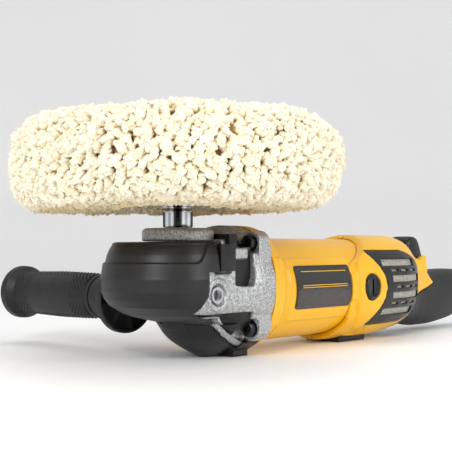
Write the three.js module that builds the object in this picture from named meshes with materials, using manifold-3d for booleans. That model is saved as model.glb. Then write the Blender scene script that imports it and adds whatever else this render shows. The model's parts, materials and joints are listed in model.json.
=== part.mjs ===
// Rotary polisher with a wool pad, lying on its crown with the pad facing up.
// Millimetres. +X runs back to the rear handle, +Y to the side handle, +Z up along the spindle.
// The shapes are drawn with x = 0 on the spindle's axis; the whole tool is then moved so that the
// origin is the middle of the crown's flat foot, on the surface that the tool rests on.

import * as THREE from 'three';
import { mergeVertices } from 'three/addons/utils/BufferGeometryUtils.js';
import Module from 'manifold-3d';

const wasm = await Module();
wasm.setup();

// ---------------------------------------------------------------- driving dimensions

const GAP = 0.3; // between pieces that touch
const MOTOR_Z = 48; // height of the motor's axis
const LAY_Z = 29.25; // height of the layshaft's axis
const HANDLE_X = -2; // the side handle's sockets
const HANDLE_Z = 43; // the handle's own axis, on the far side
const SOCKET_Z = 48; // the empty socket on the near side
const SOCKET_RADIUS = 5;
const GUARD_RADIUS = 27;

const CASE_HALF_WIDTH = 41.4;
const CASE_TOP = 81; // under the boot's top lip
const NECK_TOP = 85.4;
const NOSE_X = -12; // centre of the round nose
const NOSE_RADIUS = 46; // outside of the boot
const KEEL_X = 30; // centre of the round chin
const BOOT_TOP = 85;
const FLANGE_FRONT = 42;
const FLANGE_BACK = 56;
const FLANGE_Z = 51.5;
const FLANGE_WIDTH = 84;
const FLANGE_HEIGHT = 73;
const FLANGE_RADIUS = 46.5;
const SCREW_Y = 33;
const SCREW_RISE = 31.5; // flange screws above and below their middle
const SCREW_Z = 53;

const HOUSING_FRONT = FLANGE_BACK + GAP;
const HOUSING_BACK = 214;
const HOUSING_RADIUS = 41.5;
const HOUSING_BORE = 38;

const STATOR = { front: 100, back: 165, radius: 37.5, bore: 23 };
const ARMATURE_RADIUS = 22;
const BRUSH_X = 184.5;
const COMMUTATOR_RADIUS = 14;
const CAP_RADIUS = 11;
const FOOT = { front: 38, back: 54, halfWidth: 20 }; // the crown's flat foot
const LOCK = { x: 4, z: 65.5, bottom: 64.6, top: 83.6, travel: 4.5 }; // spindle lock button
const REAR_FOOT = { front: 175, back: 214 };
const LABEL_Z = 50.3;
const DIAL_X = 224;
const DIAL_RADIUS = 9;

const RUBBER_FRONT = 298; // where the rear grip's rubber starts
const TRIGGER = { x: 303, z: 62, halfWidth: 11, front: 294, back: 332 }; // hinge, and its slot
const LOCK_ON = { x: 318, z: 55 };
const HANDLE_BACK = 417;

const PAD = { radius: 117, bottom: 110, top: 173, hole: 31 };
const ADAPTER = { radius: 11, bottom: 95.6, top: 121 };

const SPUR_MODULE = 1.25;
const PINION_TEETH = 9;
const LAY_TEETH = 21;
const BEVEL_MODULE = 1.95;
const BEVEL_PINION_TEETH = 9;
const RING_TEETH = 31;

// ---------------------------------------------------------------- materials

const finish = (color, roughness, metalness = 0) =>
  new THREE.MeshStandardMaterial({ color, roughness, metalness });

const CAST = finish('#b4b6b6', 0.5, 0.85);
const YELLOW = finish('#f0be2d', 0.38);
const BLACK = finish('#1f1f20', 0.45);
const RUBBER = finish('#2c2c2d', 0.75);
const STEEL = finish('#b9bcbf', 0.28, 1);
const CHROME = finish('#d9dcdf', 0.12, 1);
const DARK_STEEL = finish('#3a3b3d', 0.4, 0.9);
const COPPER = finish('#b5652f', 0.35, 0.9);
const IRON = finish('#6d6f72', 0.5, 0.8);
const MESH = finish('#a7a39a', 0.6, 0.3);
const CARBON = finish('#2a2a2c', 0.8);
const WOOL = finish('#f3ecd8', 1);
const LABEL = finish('#2b2527', 0.3);

// ---------------------------------------------------------------- solids

// A closed geometry as a solid, with its shared corners merged and its faces pointing out.
function solid(geometry) {
  geometry.deleteAttribute('normal');
  geometry.deleteAttribute('uv');
  const merged = mergeVertices(geometry, 1e-4);
  const place = merged.attributes.position;
  const index = Array.from(merged.index.array);
  let faces = [];
  for (let i = 0; i < index.length; i += 3) {
    const [a, b, c] = index.slice(i, i + 3);
    if (a !== b && b !== c && c !== a) faces.push([a, b, c]);
  }
  const corner = (i) => new THREE.Vector3().fromBufferAttribute(place, i);
  const volume = faces.reduce((sum, [a, b, c]) => sum + corner(a).dot(corner(b).cross(corner(c))), 0);
  if (volume < 0) faces = faces.map(([a, b, c]) => [a, c, b]);
  const vertProperties = new Float32Array(place.array);
  const triVerts = new Uint32Array(faces.flat());
  return new wasm.Manifold(new wasm.Mesh({ numProp: 3, vertProperties, triVerts }));
}

const join = (...solids) => solids.reduce((whole, next) => whole.add(next));
const cut = (whole, ...tools) => tools.reduce((rest, tool) => rest.subtract(tool), whole);

function box(x0, x1, y0, y1, z0, z1) {
  const geometry = new THREE.BoxGeometry(x1 - x0, y1 - y0, z1 - z0);
  return solid(geometry.translate((x0 + x1) / 2, (y0 + y1) / 2, (z0 + z1) / 2));
}

// Turns a geometry made around Y so that its axis runs along X, Y or Z.
function stand(geometry, axis) {
  if (axis === 'x') return geometry.rotateZ(-Math.PI / 2);
  if (axis === 'z') return geometry.rotateX(Math.PI / 2);
  return geometry;
}

// A rod from one place to another along an axis, through the point given by the other two coordinates.
function rod(axis, from, to, [u, v], radius, sides = 18) {
  const geometry = new THREE.CylinderGeometry(radius, radius, to - from, sides);
  stand(geometry, axis);
  const middle = (from + to) / 2;
  const centre = { x: [middle, u, v], y: [u, middle, v], z: [u, v, middle] }[axis];
  return solid(geometry.translate(...centre));
}

// A turned piece: [along, radius] points in order, around an axis through a point.
function turned(axis, profile, [u, v], sides = 20) {
  const points = profile.map(([along, radius]) => new THREE.Vector2(radius, along));
  const geometry = stand(new THREE.LatheGeometry(points, sides), axis);
  const centre = { x: [0, u, v], y: [u, 0, v], z: [u, v, 0] }[axis];
  return solid(geometry.translate(...centre));
}

// A ring with a square section.
function ring(axis, from, to, centre, inner, outer, sides = 18) {
  return cut(
    rod(axis, from, to, centre, outer, sides),
    rod(axis, from - 1, to + 1, centre, inner, sides)
  );
}

// An outline of [y, z] points drawn out along X.
function alongX(outline, from, to) {
  const shape = new THREE.Shape(outline.map(([y, z]) => new THREE.Vector2(y, z)));
  const geometry = new THREE.ExtrudeGeometry(shape, { depth: to - from, bevelEnabled: false });
  const turn = new THREE.Matrix4().makeBasis(
    new THREE.Vector3(0, 1, 0),
    new THREE.Vector3(0, 0, 1),
    new THREE.Vector3(1, 0, 0)
  );
  return solid(geometry.applyMatrix4(turn).translate(from, 0, 0));
}

// An outline of [x, z] points drawn out along Y.
function alongY(outline, from, to) {
  const shape = new THREE.Shape(outline.map(([x, z]) => new THREE.Vector2(x, z)));
  const geometry = new THREE.ExtrudeGeometry(shape, { depth: to - from, bevelEnabled: false });
  return solid(geometry.rotateX(Math.PI / 2).translate(0, to, 0));
}

// A skin over sections with the same number of corners, closed by a fan at each end.
function loft(sections) {
  const count = sections[0].length;
  const corners = sections.flat();
  const middle = (section) =>
    section.reduce((sum, p) => sum.add(p), new THREE.Vector3()).divideScalar(count);
  const index = [];
  for (let s = 0; s + 1 < sections.length; s++) {
    for (let i = 0; i < count; i++) {
      const a = s * count + i;
      const b = s * count + ((i + 1) % count);
      index.push(a, b, b + count, a, b + count, a + count);
    }
  }
  const first = corners.length;
  const last = first + 1;
  const end = (sections.length - 1) * count;
  for (let i = 0; i < count; i++) {
    const next = (i + 1) % count;
    index.push(first, next, i, last, end + i, end + next);
  }
  const points = [...corners, middle(sections[0]), middle(sections.at(-1))];
  const geometry = new THREE.BufferGeometry().setFromPoints(points);
  geometry.setIndex(index);
  return solid(geometry);
}

// A rounded section across X: half width, half height and how square it is.
function sectionX(x, halfWidth, z, halfHeight, square = 2, corners = 28) {
  const power = 2 / square;
  return Array.from({ length: corners }, (_, i) => {
    const angle = (2 * Math.PI * (i + 0.5)) / corners;
    const c = Math.cos(angle);
    const s = Math.sin(angle);
    const y = Math.sign(c) * Math.abs(c) ** power * halfWidth;
    const rise = Math.sign(s) * Math.abs(s) ** power * halfHeight;
    return new THREE.Vector3(x, y, z + rise);
  });
}

// A level section of the nose: half an oval in front and straight sides back to an end.
function sectionNose(z, radius, halfWidth, back, centre = NOSE_X, arcs = 10) {
  const points = [new THREE.Vector3(back, -halfWidth, z)];
  for (let i = 0; i <= arcs; i++) {
    const angle = -Math.PI / 2 - (Math.PI * i) / arcs;
    points.push(
      new THREE.Vector3(centre + radius * Math.cos(angle), halfWidth * Math.sin(angle), z)
    );
  }
  points.push(new THREE.Vector3(back, halfWidth, z));
  return points;
}

function roundedRectangle(width, height, centre, radius, steps = 3) {
  const points = [];
  [0, 1, 2, 3].forEach((quarter) => {
    const right = quarter === 0 || quarter === 3 ? 1 : -1;
    const up = quarter < 2 ? 1 : -1;
    for (let i = 0; i <= steps; i++) {
      const angle = ((quarter + i / steps) * Math.PI) / 2;
      points.push([
        right * (width / 2 - radius) + radius * Math.cos(angle),
        centre + up * (height / 2 - radius) + radius * Math.sin(angle)
      ]);
    }
  });
  return points;
}

const mirrorY = (shape) => shape.mirror([0, 1, 0]);

// ---------------------------------------------------------------- gears

// A toothed outline: straight-flanked teeth with room at the tips and flanks.
function spurOutline(teeth, module, turn = 0) {
  const pitch = (teeth * module) / 2;
  const root = pitch - 1.25 * module;
  const tip = pitch + 0.75 * module;
  const points = [];
  for (let i = 0; i < teeth; i++) {
    const middle = (2 * Math.PI * i) / teeth + turn;
    [[root, -0.3], [tip, -0.09], [tip, 0.09], [root, 0.3]].forEach(([radius, share]) => {
      const angle = middle + (2 * Math.PI * share) / teeth;
      points.push([radius * Math.cos(angle), radius * Math.sin(angle)]);
    });
  }
  return points;
}

function spurGear(from, to, z, teeth, turn) {
  const outline = spurOutline(teeth, SPUR_MODULE, turn).map(([y, rise]) => [y, z + rise]);
  return alongX(outline, from, to);
}

// One bevel tooth shape shrinks towards the point where both gears' axes meet.
// `spin` turns the tooth from the line of contact to its place around its own axis.
function bevelTooth(side, spin) {
  const apex = new THREE.Vector3(0, 0, LAY_Z);
  const contact = new THREE.Vector3(
    (RING_TEETH * BEVEL_MODULE) / 2,
    0,
    (BEVEL_PINION_TEETH * BEVEL_MODULE) / 2
  );
  const outward = new THREE.Vector3(contact.z, 0, -contact.x).normalize().multiplyScalar(side);
  const across = new THREE.Vector3(0, 1, 0);
  const pitch = Math.PI * BEVEL_MODULE;
  const rows = [[-1.3, 0.28], [0.75, 0.1]];
  const corners = [
    ...rows.map(([rise, share]) => [rise, share]),
    ...rows.map(([rise, share]) => [rise, -share]).reverse()
  ];
  const section = (scale) =>
    corners.map(([rise, share]) =>
      contact
        .clone()
        .addScaledVector(outward, rise * BEVEL_MODULE)
        .addScaledVector(across, share * pitch)
        .multiplyScalar(scale)
        .applyQuaternion(spin)
        .add(apex)
    );
  return loft([section(0.66), section(1)]);
}

function bevelTeeth(teeth, side, axis, firstTurn) {
  return join(
    ...Array.from({ length: teeth }, (_, i) => {
      const spin = new THREE.Quaternion();
      spin.setFromAxisAngle(axis, (2 * Math.PI * i) / teeth + firstTurn);
      return bevelTooth(side, spin);
    })
  );
}

// ---------------------------------------------------------------- gear case

// The bottom of the nose moves back as it narrows: [height, front radius, half width, centre].
const NOSE_BOTTOM = [[31, 28, 39.5, 0], [34, 33.5, 42.5, -4], [40, 41, 45, -9]];

const noseBody = (inset, room = 0) =>
  loft([
    ...NOSE_BOTTOM.map(([z, radius, halfWidth, centre]) =>
      sectionNose(z - room, radius - inset, halfWidth - 4 + room, FLANGE_BACK, centre)
    ),
    sectionNose(50, NOSE_RADIUS - 0.3 - inset, CASE_HALF_WIDTH + room, FLANGE_BACK),
    sectionNose(69, NOSE_RADIUS - 0.3 - inset, CASE_HALF_WIDTH + room, FLANGE_BACK),
    sectionNose(CASE_TOP + room, 40.5 - inset, CASE_HALF_WIDTH - 2 + room, FLANGE_BACK)
  ]);

// The crown under the gear case: a round chin that sweeps down and back to the flat foot.
function keel(inset) {
  const levels = [
    [4, 14.5, 14], [9, 22.5, 23.5], [15, 29.5, 31.5], [21.6, 33.2, 37.7], [27, 36, 40.5], [33, 38, 41]
  ];
  const shift = 0.65 * inset;
  return loft([
    sectionNose(1 + inset, 9 - shift, 8 - shift, 60, KEEL_X),
    ...levels.map(([z, radius, halfWidth]) =>
      sectionNose(z + shift, radius - shift, halfWidth - shift, 60, KEEL_X)
    )
  ]);
}

function gearCase() {
  const bulkhead = [[26, 0], [26, 38], [31, 43.5], [FLANGE_FRONT + 2, 46], [FLANGE_FRONT + 2, 0]];
  const outside = join(
    noseBody(4.3),
    keel(3.8).intersect(box(-50, FLANGE_BACK, -50, 50, 0, 60)),
    spindleSeat(10.8),
    turned('x', bulkhead, [0, FLANGE_Z], 28),
    rod('x', FLANGE_FRONT, FLANGE_BACK, [0, FLANGE_Z], FLANGE_RADIUS, 28),
    alongX(roundedRectangle(FLANGE_WIDTH, FLANGE_HEIGHT, FLANGE_Z, 9), FLANGE_FRONT, FLANGE_BACK),
    rod('z', 60, NECK_TOP, [0, 0], 25),
    rod('y', -45.5, 0, [HANDLE_X, SOCKET_Z], 12),
    rod('y', 0, 45.5, [HANDLE_X, HANDLE_Z], 12)
  );
  const pocket = alongY(
    [[17, 54], [34, 53], [36, 70], [30, 73], [17, 73]],
    -60, -CASE_HALF_WIDTH + 5
  );
  const lockPocket = [
    box(LOCK.x - 8, LOCK.x + 8, -60, -36.6, LOCK.bottom - 0.6, LOCK.top + 10),
    rod('y', -37, -28, [LOCK.x, LOCK.z + 3], 4.3, 14),
    rod('y', -30, 0, [LOCK.x, LOCK.z + 3], 2.3, 12)
  ];
  const inside = [
    turned('z', [[33.5, 0], [33.5, 29], [36.2, 34], [62, 34], [62, 0]], [0, 0], 28),
    rod('x', 12, 34.5, [0, LAY_Z], 11.5),
    rod('z', 25.7, 36, [0, 0], 8.3),
    rod('z', 60, 75, [0, 0], 10),
    rod('z', 72, NECK_TOP + 1, [0, 0], 18.3),
    rod('x', 34, FLANGE_FRONT, [0, LAY_Z], 8.3),
    rod('x', 41, 50, [0, LAY_Z], 15.8),
    rod('x', 41, 50, [0, MOTOR_Z], 10),
    rod('x', 49.7, 60, [0, MOTOR_Z], 33.3, 28),
    rod('y', 37, 60, [HANDLE_X, HANDLE_Z], SOCKET_RADIUS),
    rod('y', -60, -37, [HANDLE_X, SOCKET_Z], SOCKET_RADIUS),
    pocket,
    mirrorY(pocket),
    ...lockPocket
  ];
  const screwHoles = screwPlaces().flatMap((spot) => [
    rod('x', 36, 60, spot, 4.3, 12),
    rod('x', 30, FLANGE_FRONT + 2, spot, 6.3, 16)
  ]);
  return cut(outside, ...inside, ...screwHoles);
}

// The round seat of the spindle's lower bearing.
const spindleSeat = (radius) => rod('z', 23.4, 34, [0, 0], radius);

const screwPlaces = () =>
  [-1, 1].flatMap((side) => [1, -1].map((up) => [side * SCREW_Y, SCREW_Z + up * SCREW_RISE]));

function flangeScrew([y, z]) {
  const head = rod('x', 37.5, FLANGE_FRONT + 1.7, [y, z], 5.6, 16);
  const shank = rod('x', 40, 54, [y, z], 4, 12);
  const socket = rod('x', 36, 40.5, [y, z], 2.6, 6);
  return cut(join(head, shank), socket);
}

const spindleRetainer = () =>
  cut(
    turned('z', [[85.7, 0], [85.7, 26], [93.6, 26], [95, 24.6], [95, 0]], [0, 0], 32),
    rod('z', 80, 100, [0, 0], 11.6)
  );

function frontBoot() {
  const outer = loft([
    sectionNose(26.6, 12, 33, 14, 6),
    sectionNose(28.5, 19, 36.5, 14, 3),
    ...NOSE_BOTTOM.map(([z, radius, halfWidth, centre]) =>
      sectionNose(z, radius, halfWidth, 14, centre)
    ),
    sectionNose(50, 45.7, 46, 14),
    sectionNose(60, NOSE_RADIUS + 0.3, 46.3, 14),
    sectionNose(69, NOSE_RADIUS - 0.1, 46, 14),
    sectionNose(80, 41.2, 43.6, 14),
    sectionNose(BOOT_TOP, 37, 41, 14)
  ]);
  const sideCut = alongY([[-15, 64.5], [-15, 48], [-24, 33], [-24, 20], [40, 20], [40, 64.5]], 36, 60);
  return cut(
    outer,
    noseBody(4, GAP),
    keel(-GAP),
    spindleSeat(11.2),
    rod('z', 70, 90, [0, 0], 25.3),
    rod('y', -60, 0, [HANDLE_X, SOCKET_Z], 12.4),
    rod('y', 0, 60, [HANDLE_X, HANDLE_Z], 12.4),
    box(LOCK.x - 8, 60, -60, -30, 20, 100),
    box(12, 60, 30, 60, 20, 100),
    sideCut,
    mirrorY(sideCut)
  );
}

// The rubber under the gear case, with its flat foot and the wings that wrap the flange.
function crownFoot() {
  const skin = keel(0).intersect(box(-50, 54, -50, 50, 0, 26));
  const foot = box(FOOT.front, FOOT.back, -FOOT.halfWidth, FOOT.halfWidth, 0, 4);
  const wings = rod('x', 38, FLANGE_BACK - GAP, [0, FLANGE_Z - 1.2], FLANGE_RADIUS + 3, 32)
    .intersect(box(0, 60, -30, 30, 0.5, 14.2));
  const flange = alongX(
    roundedRectangle(FLANGE_WIDTH + 2 * GAP, FLANGE_HEIGHT + 2 * GAP, FLANGE_Z, 9),
    30, 60
  );
  return cut(
    join(skin, foot, wings),
    keel(3.3),
    spindleSeat(11.2),
    rod('x', 25, 60, [0, FLANGE_Z], FLANGE_RADIUS + GAP, 28),
    flange
  );
}

const intermediatePlate = () =>
  cut(
    rod('x', 50, 56, [0, MOTOR_Z], 33, 28),
    rod('x', 40, 60, [0, LAY_Z], 8.3),
    rod('x', 40, 60, [0, MOTOR_Z], 9.3)
  );

// ---------------------------------------------------------------- motor and its housing

function motorHousing() {
  const outside = loft([
    sectionX(HOUSING_FRONT, 45.8, FLANGE_Z, 46.5, 2.2),
    sectionX(66, 45, FLANGE_Z - 0.5, 45.5, 2.15),
    sectionX(76, HOUSING_RADIUS, MOTOR_Z, HOUSING_RADIUS, 2.05),
    sectionX(160, HOUSING_RADIUS, MOTOR_Z, HOUSING_RADIUS),
    sectionX(HOUSING_BACK, HOUSING_RADIUS, MOTOR_Z, HOUSING_RADIUS)
  ]);
  const holderHole = box(BRUSH_X - 5.3, BRUSH_X + 5.3, 30, 60, MOTOR_Z - 7.8, MOTOR_Z + 7.8);
  const vents = [-1, 1].flatMap((y) =>
    [-1, 1].map((z) => rod('x', 200, 220, [y * 18, MOTOR_Z + z * 18], 7, 12))
  );
  return cut(
    outside,
    rod('x', 50, 206, [0, MOTOR_Z], HOUSING_BORE, 28),
    rod('x', 200, 220, [0, MOTOR_Z], 8.3, 20),
    holderHole,
    mirrorY(holderHole),
    ...vents
  );
}

// The windings run in two slots through the core and bulge at both of its ends.
function windings(grow) {
  const bar = (z) => box(92 - grow, 173 + grow, -5 - grow, 5 + grow, z - 4 - grow, z + 4 + grow);
  return [bar(MOTOR_Z + 29), bar(MOTOR_Z - 29)];
}

const statorCore = () =>
  cut(
    ring('x', STATOR.front, STATOR.back, [0, MOTOR_Z], STATOR.bore, STATOR.radius, 28),
    ...windings(GAP)
  );

const statorWindings = () =>
  join(
    ring('x', 92, STATOR.front - GAP, [0, MOTOR_Z], STATOR.bore + 1, 35),
    ring('x', STATOR.back + GAP, 173, [0, MOTOR_Z], STATOR.bore + 1, 35),
    ...windings(0)
  );

const armatureShaft = () =>
  join(
    turned(
      'x',
      [
        [41.8, 0], [41.8, 3.8], [49, 3.8], [49, 4.5], [60, 4.5], [60, 5],
        [200, 5], [200, 4], [212, 4], [212, 0]
      ],
      [0, MOTOR_Z]
    ),
    spurGear(42, 49, MOTOR_Z, PINION_TEETH, 0.5 * Math.PI)
  );

function armatureCore() {
  const slots = Array.from({ length: 12 }, (_, i) => {
    const angle = (2 * Math.PI * (i + 0.5)) / 12;
    return rod('x', 90, 180, [20.5 * Math.cos(angle), MOTOR_Z + 20.5 * Math.sin(angle)], 2, 6);
  });
  return cut(
    rod('x', STATOR.front, STATOR.back, [0, MOTOR_Z], ARMATURE_RADIUS, 28),
    rod('x', 90, 180, [0, MOTOR_Z], 5.3, 20),
    ...slots
  );
}

const commutator = () => ring('x', 176, 194, [0, MOTOR_Z], 5.3, COMMUTATOR_RADIUS);

function coolingFan() {
  const blades = Array.from({ length: 10 }, (_, i) => {
    const geometry = new THREE.BoxGeometry(9, 2, 20);
    geometry.translate(72, 0, 22).rotateX((2 * Math.PI * i) / 10);
    return solid(geometry.translate(0, 0, MOTOR_Z));
  });
  return cut(
    join(rod('x', 64, 68, [0, MOTOR_Z], 33, 28), rod('x', 64, 76, [0, MOTOR_Z], 13), ...blades),
    rod('x', 60, 80, [0, MOTOR_Z], 5.3, 20)
  );
}

const brushHolder = () =>
  cut(
    box(BRUSH_X - 5, BRUSH_X + 5, -41, -18, MOTOR_Z - 7.5, MOTOR_Z + 7.5),
    box(BRUSH_X - 3.3, BRUSH_X + 3.3, -50, -10, MOTOR_Z - 5.3, MOTOR_Z + 5.3)
  );

const carbonBrush = () => box(BRUSH_X - 3, BRUSH_X + 3, -33, -15, MOTOR_Z - 5, MOTOR_Z + 5);

const brushCap = () =>
  cut(
    turned(
      'y',
      [[-47.5, 0], [-47.5, 10], [-46.3, CAP_RADIUS], [-42.2, CAP_RADIUS], [-42.2, 0]],
      [BRUSH_X, MOTOR_Z]
    ),
    box(BRUSH_X - 1.2, BRUSH_X + 1.2, -50, -45.6, MOTOR_Z - 8, MOTOR_Z + 8)
  );

// ---------------------------------------------------------------- gear train

const layshaft = () =>
  turned('x', [[17, 0], [17, 4], [56, 4], [56, 0]], [0, LAY_Z], 20);

const layGear = () =>
  cut(
    spurGear(42, 49, LAY_Z, LAY_TEETH, 0.5 * Math.PI),
    rod('x', 40, 52, [0, LAY_Z], 4.3, 20)
  );

function bevelPinion() {
  const root = BEVEL_MODULE * (BEVEL_PINION_TEETH / 2 - 1.2);
  const blank = turned(
    'x',
    [[19.6, 0], [19.6, root * 0.645], [30, root], [33.6, root], [33.6, 0]],
    [0, LAY_Z]
  );
  const axis = new THREE.Vector3(1, 0, 0);
  const teeth = bevelTeeth(BEVEL_PINION_TEETH, -1, axis, Math.PI / BEVEL_PINION_TEETH);
  return cut(join(blank, teeth), rod('x', 10, 40, [0, LAY_Z], 4.3, 20));
}

function ringGear() {
  const slope = BEVEL_PINION_TEETH / RING_TEETH;
  const under = (radius) => LAY_Z + radius * slope + (1.15 * BEVEL_MODULE * radius) / 30.4;
  const blank = turned(
    'z',
    [[under(18), 0], [under(18), 18], [under(31), 31], [46, 31], [46, 15], [52, 15], [52, 0]],
    [0, 0], RING_TEETH
  );
  const teeth = bevelTeeth(RING_TEETH, 1, new THREE.Vector3(0, 0, 1), 0);
  return cut(join(blank, teeth), rod('z', 20, 60, [0, 0], 8.3));
}

const spindle = () =>
  turned(
    'z',
    [
      [26.3, 0], [26.3, 5], [31, 5], [31, 8], [72, 8], [72, 8.5],
      [84, 8.5], [84, 7], [112, 7], [112, 0]
    ],
    [0, 0]
  );

const bearings = () => [
  ['bearing_spindle_upper', ring('z', 72.5, 84, [0, 0], 8.8, 18)],
  ['bearing_spindle_lower', ring('z', 26, 30.7, [0, 0], 5.3, 8)],
  ['bearing_layshaft_front', ring('x', 34.5, 41, [0, LAY_Z], 4.3, 8)],
  ['bearing_layshaft_rear', ring('x', 50, 55.7, [0, LAY_Z], 4.3, 8)],
  ['bearing_armature_front', ring('x', 50, 56, [0, MOTOR_Z], 4.8, 9)],
  ['bearing_armature_rear', ring('x', 206.3, 211.5, [0, MOTOR_Z], 4.3, 8)]
];

// Pressed in from the near side, its pin stops the spindle for changing the pad.
const spindleLockButton = () =>
  join(
    box(LOCK.x - 7.5, LOCK.x + 7.5, -46, -46 + LOCK.travel, LOCK.bottom, LOCK.top),
    rod('y', -43, -14, [LOCK.x, LOCK.z + 3], 2, 12)
  );

const spindleLockSpring = () => ring('y', -36.3, -28.3, [LOCK.x, LOCK.z + 3], 2.3, 4, 12);

// ---------------------------------------------------------------- pad and what holds it

const padAdapter = () =>
  cut(
    join(
      rod('z', ADAPTER.bottom, ADAPTER.top, [0, 0], ADAPTER.radius),
      rod('z', ADAPTER.top, 150, [0, 0], 7)
    ),
    rod('z', 90, 113, [0, 0], 7.3),
    box(-12, -8.5, -4, 4, 97, 106)
  );

const padHub = () => ring('z', ADAPTER.top + GAP, 147, [0, 0], 7.3, PAD.hole - GAP);

const padNut = () =>
  cut(rod('z', 147.3, 154, [0, 0], 11, 6), rod('z', 140, 160, [0, 0], 7.3));

const woolPad = () => {
  const { radius, bottom, top, hole } = PAD;
  const profile = [
    [bottom + 8, hole], [bottom + 1, 60], [bottom, 90], [bottom + 5, 107], [bottom + 17, 115],
    [(bottom + top) / 2, radius], [top - 15, 114], [top - 5, 104], [top, 84], [top, 50],
    [top - 6, hole], [bottom + 8, hole]
  ];
  return turned('z', profile, [0, 0], 32);
};

// ---------------------------------------------------------------- side handle

const HANDLE_AXIS = [HANDLE_X, HANDLE_Z];
const studHole = () => rod('y', 40, 110, HANDLE_AXIS, SOCKET_RADIUS + GAP, 16);

const sideHandleStud = () =>
  join(
    rod('y', 37.3, 108, HANDLE_AXIS, SOCKET_RADIUS - GAP, 16),
    rod('y', 45.8, 51.7, HANDLE_AXIS, 10, 6)
  );

function sideHandleGuard() {
  const rim = GUARD_RADIUS;
  const ribs = Array.from({ length: 6 }, (_, i) => {
    const geometry = new THREE.BoxGeometry(14, 5, 2).translate(18, 54.5, 0);
    geometry.rotateY((Math.PI * i) / 3).translate(HANDLE_X, 0, HANDLE_Z);
    return solid(geometry);
  });
  const cup = turned(
    'y',
    [[56, 0], [56, rim - 2.5], [52, rim - 2], [52, rim], [58, rim], [62, 18.5], [80, 16.6], [80, 0]],
    HANDLE_AXIS, 24
  );
  return cut(join(cup, rod('y', 52, 57, HANDLE_AXIS, 13), ...ribs), studHole());
}

const sideHandleGrip = () =>
  cut(
    turned(
      'y',
      [
        [80.3, 0], [80.3, 17], [100, 17.8], [130, 18.2], [160, 17.6], [178, 17],
        [184, 22.5], [190, 22.5], [194, 17], [195, 0]
      ],
      HANDLE_AXIS, 24
    ),
    studHole()
  );

// ---------------------------------------------------------------- rear body and handle

// The outside of the rear cap, neck and handle, made larger or smaller all round by `grow`.
function rearBody(grow, from = 159, to = HANDLE_BACK) {
  const stations = [
    [155, 43.4, 48, 43.6, 2], [190, 45.8, 47.2, 45, 2.05], [215, 46.4, 47.4, 45, 2.1],
    [245, 45, 48.5, 44, 2.15], [268, 38.5, 49.5, 42.5, 2.3], [284, 29, 49.3, 39, 2.5],
    [RUBBER_FRONT, 21.5, 44, 36.5, 2.7], [312, 19.5, 39.3, 34.2, 2.8], [320, 19.2, 39, 34, 2.8],
    [326, 19, 34.5, 29.5, 2.8], [332, 18.8, 32.5, 27.5, 2.8], [345, 18.4, 32, 27, 2.7],
    [380, 17.8, 34, 25.5, 2.6], [405, 16.8, 36, 22.5, 2.5], [HANDLE_BACK, 12, 37, 16, 2.3]
  ];
  const between = (x) => {
    const after = stations.findIndex((station) => station[0] >= x);
    if (after < 1) return stations[0];
    const [a, b] = [stations[after - 1], stations[after]];
    const share = (x - a[0]) / (b[0] - a[0]);
    return a.map((value, i) => value + (b[i] - value) * share);
  };
  const inner = stations.map((station) => station[0]).filter((x) => x > from && x < to);
  return loft(
    [from, ...inner, to].map((x) => {
      const [, halfWidth, z, halfHeight, square] = between(x);
      return sectionX(x, halfWidth + grow, z, halfHeight + grow, square, 24);
    })
  );
}

// The part of the rear body that rubber covers: all of it but the cap and the yellow cheeks.
const rubberZone = (grow) =>
  alongY(
    [
      [232 - grow, -20], [236 - grow, 5 + grow], [262 - grow, 15 + grow], [286 - grow, 30 + grow],
      [RUBBER_FRONT - grow, 37 + grow], [318 - grow, 41.5 + grow], [336 - 2.2 * grow, 46.4],
      [324 - 1.2 * grow, 60], [321.5 - 1.2 * grow, 65], [321.5 - 1.2 * grow, 120], [450, 120], [450, -20]
    ],
    -60, 60
  );

const triggerSlot = (grow) =>
  box(
    TRIGGER.front - grow, TRIGGER.back + grow,
    -TRIGGER.halfWidth - 0.5 - grow, TRIGGER.halfWidth + 0.5 + grow,
    44, 110
  );

const ventOutline = (inset) => {
  const i = inset;
  return [
    [185 + 2.4 * i, 78.5 - i], [197 + 1.6 * i, 66], [203.5 + 1.1 * i, 57], [205 + 1.1 * i, 47.5],
    [203.5 + 1.1 * i, 38], [197 + 1.6 * i, 29], [185 + 2.4 * i, 15 + i], [242, 15 + i],
    [266 - i, 24], [279 - i, 38], [279 - i, 58], [266 - i, 71 - i], [246, 78.5 - i]
  ];
};

const windowOf = (inset, side) =>
  alongY(ventOutline(inset), ...(side > 0 ? [15, 60] : [-60, -15]));

// Both halves before they are split: cap, neck and the core inside the rubber.
function handleBody() {
  const skin = cut(rearBody(0), rubberZone(GAP));
  const core = rearBody(-4.3, 228, HANDLE_BACK - 6);
  const slant = alongY([[150, 66], [162, 66], [214, 96], [214, 120], [150, 120]], -60, 60);
  return cut(
    join(skin, core),
    rod('x', 150, 216, [0, MOTOR_Z], HOUSING_RADIUS + GAP, 28),
    rearBody(-3.5, 214, 284),
    rearBody(-7.3, 282, 404),
    slant,
    triggerSlot(0),
    windowOf(0, 1),
    windowOf(0, -1),
    rod('y', -60, 60, [BRUSH_X, MOTOR_Z], CAP_RADIUS + GAP),
    rod('x', 395, 430, [0, 37], 9.3, 20),
    box(REAR_FOOT.front - GAP, REAR_FOOT.back + GAP, -18.3, 18.3, -5, 5.9),
    box(DIAL_X - 10, DIAL_X + 10, -5, 5, -5, 20),
    rod('y', 5, 40, [LOCK_ON.x, LOCK_ON.z], 4.3, 16)
  );
}

const handleShell = (side) =>
  handleBody().intersect(
    box(100, 500, ...(side > 0 ? [GAP / 2, 100] : [-100, -GAP / 2]), -50, 150)
  );

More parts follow.
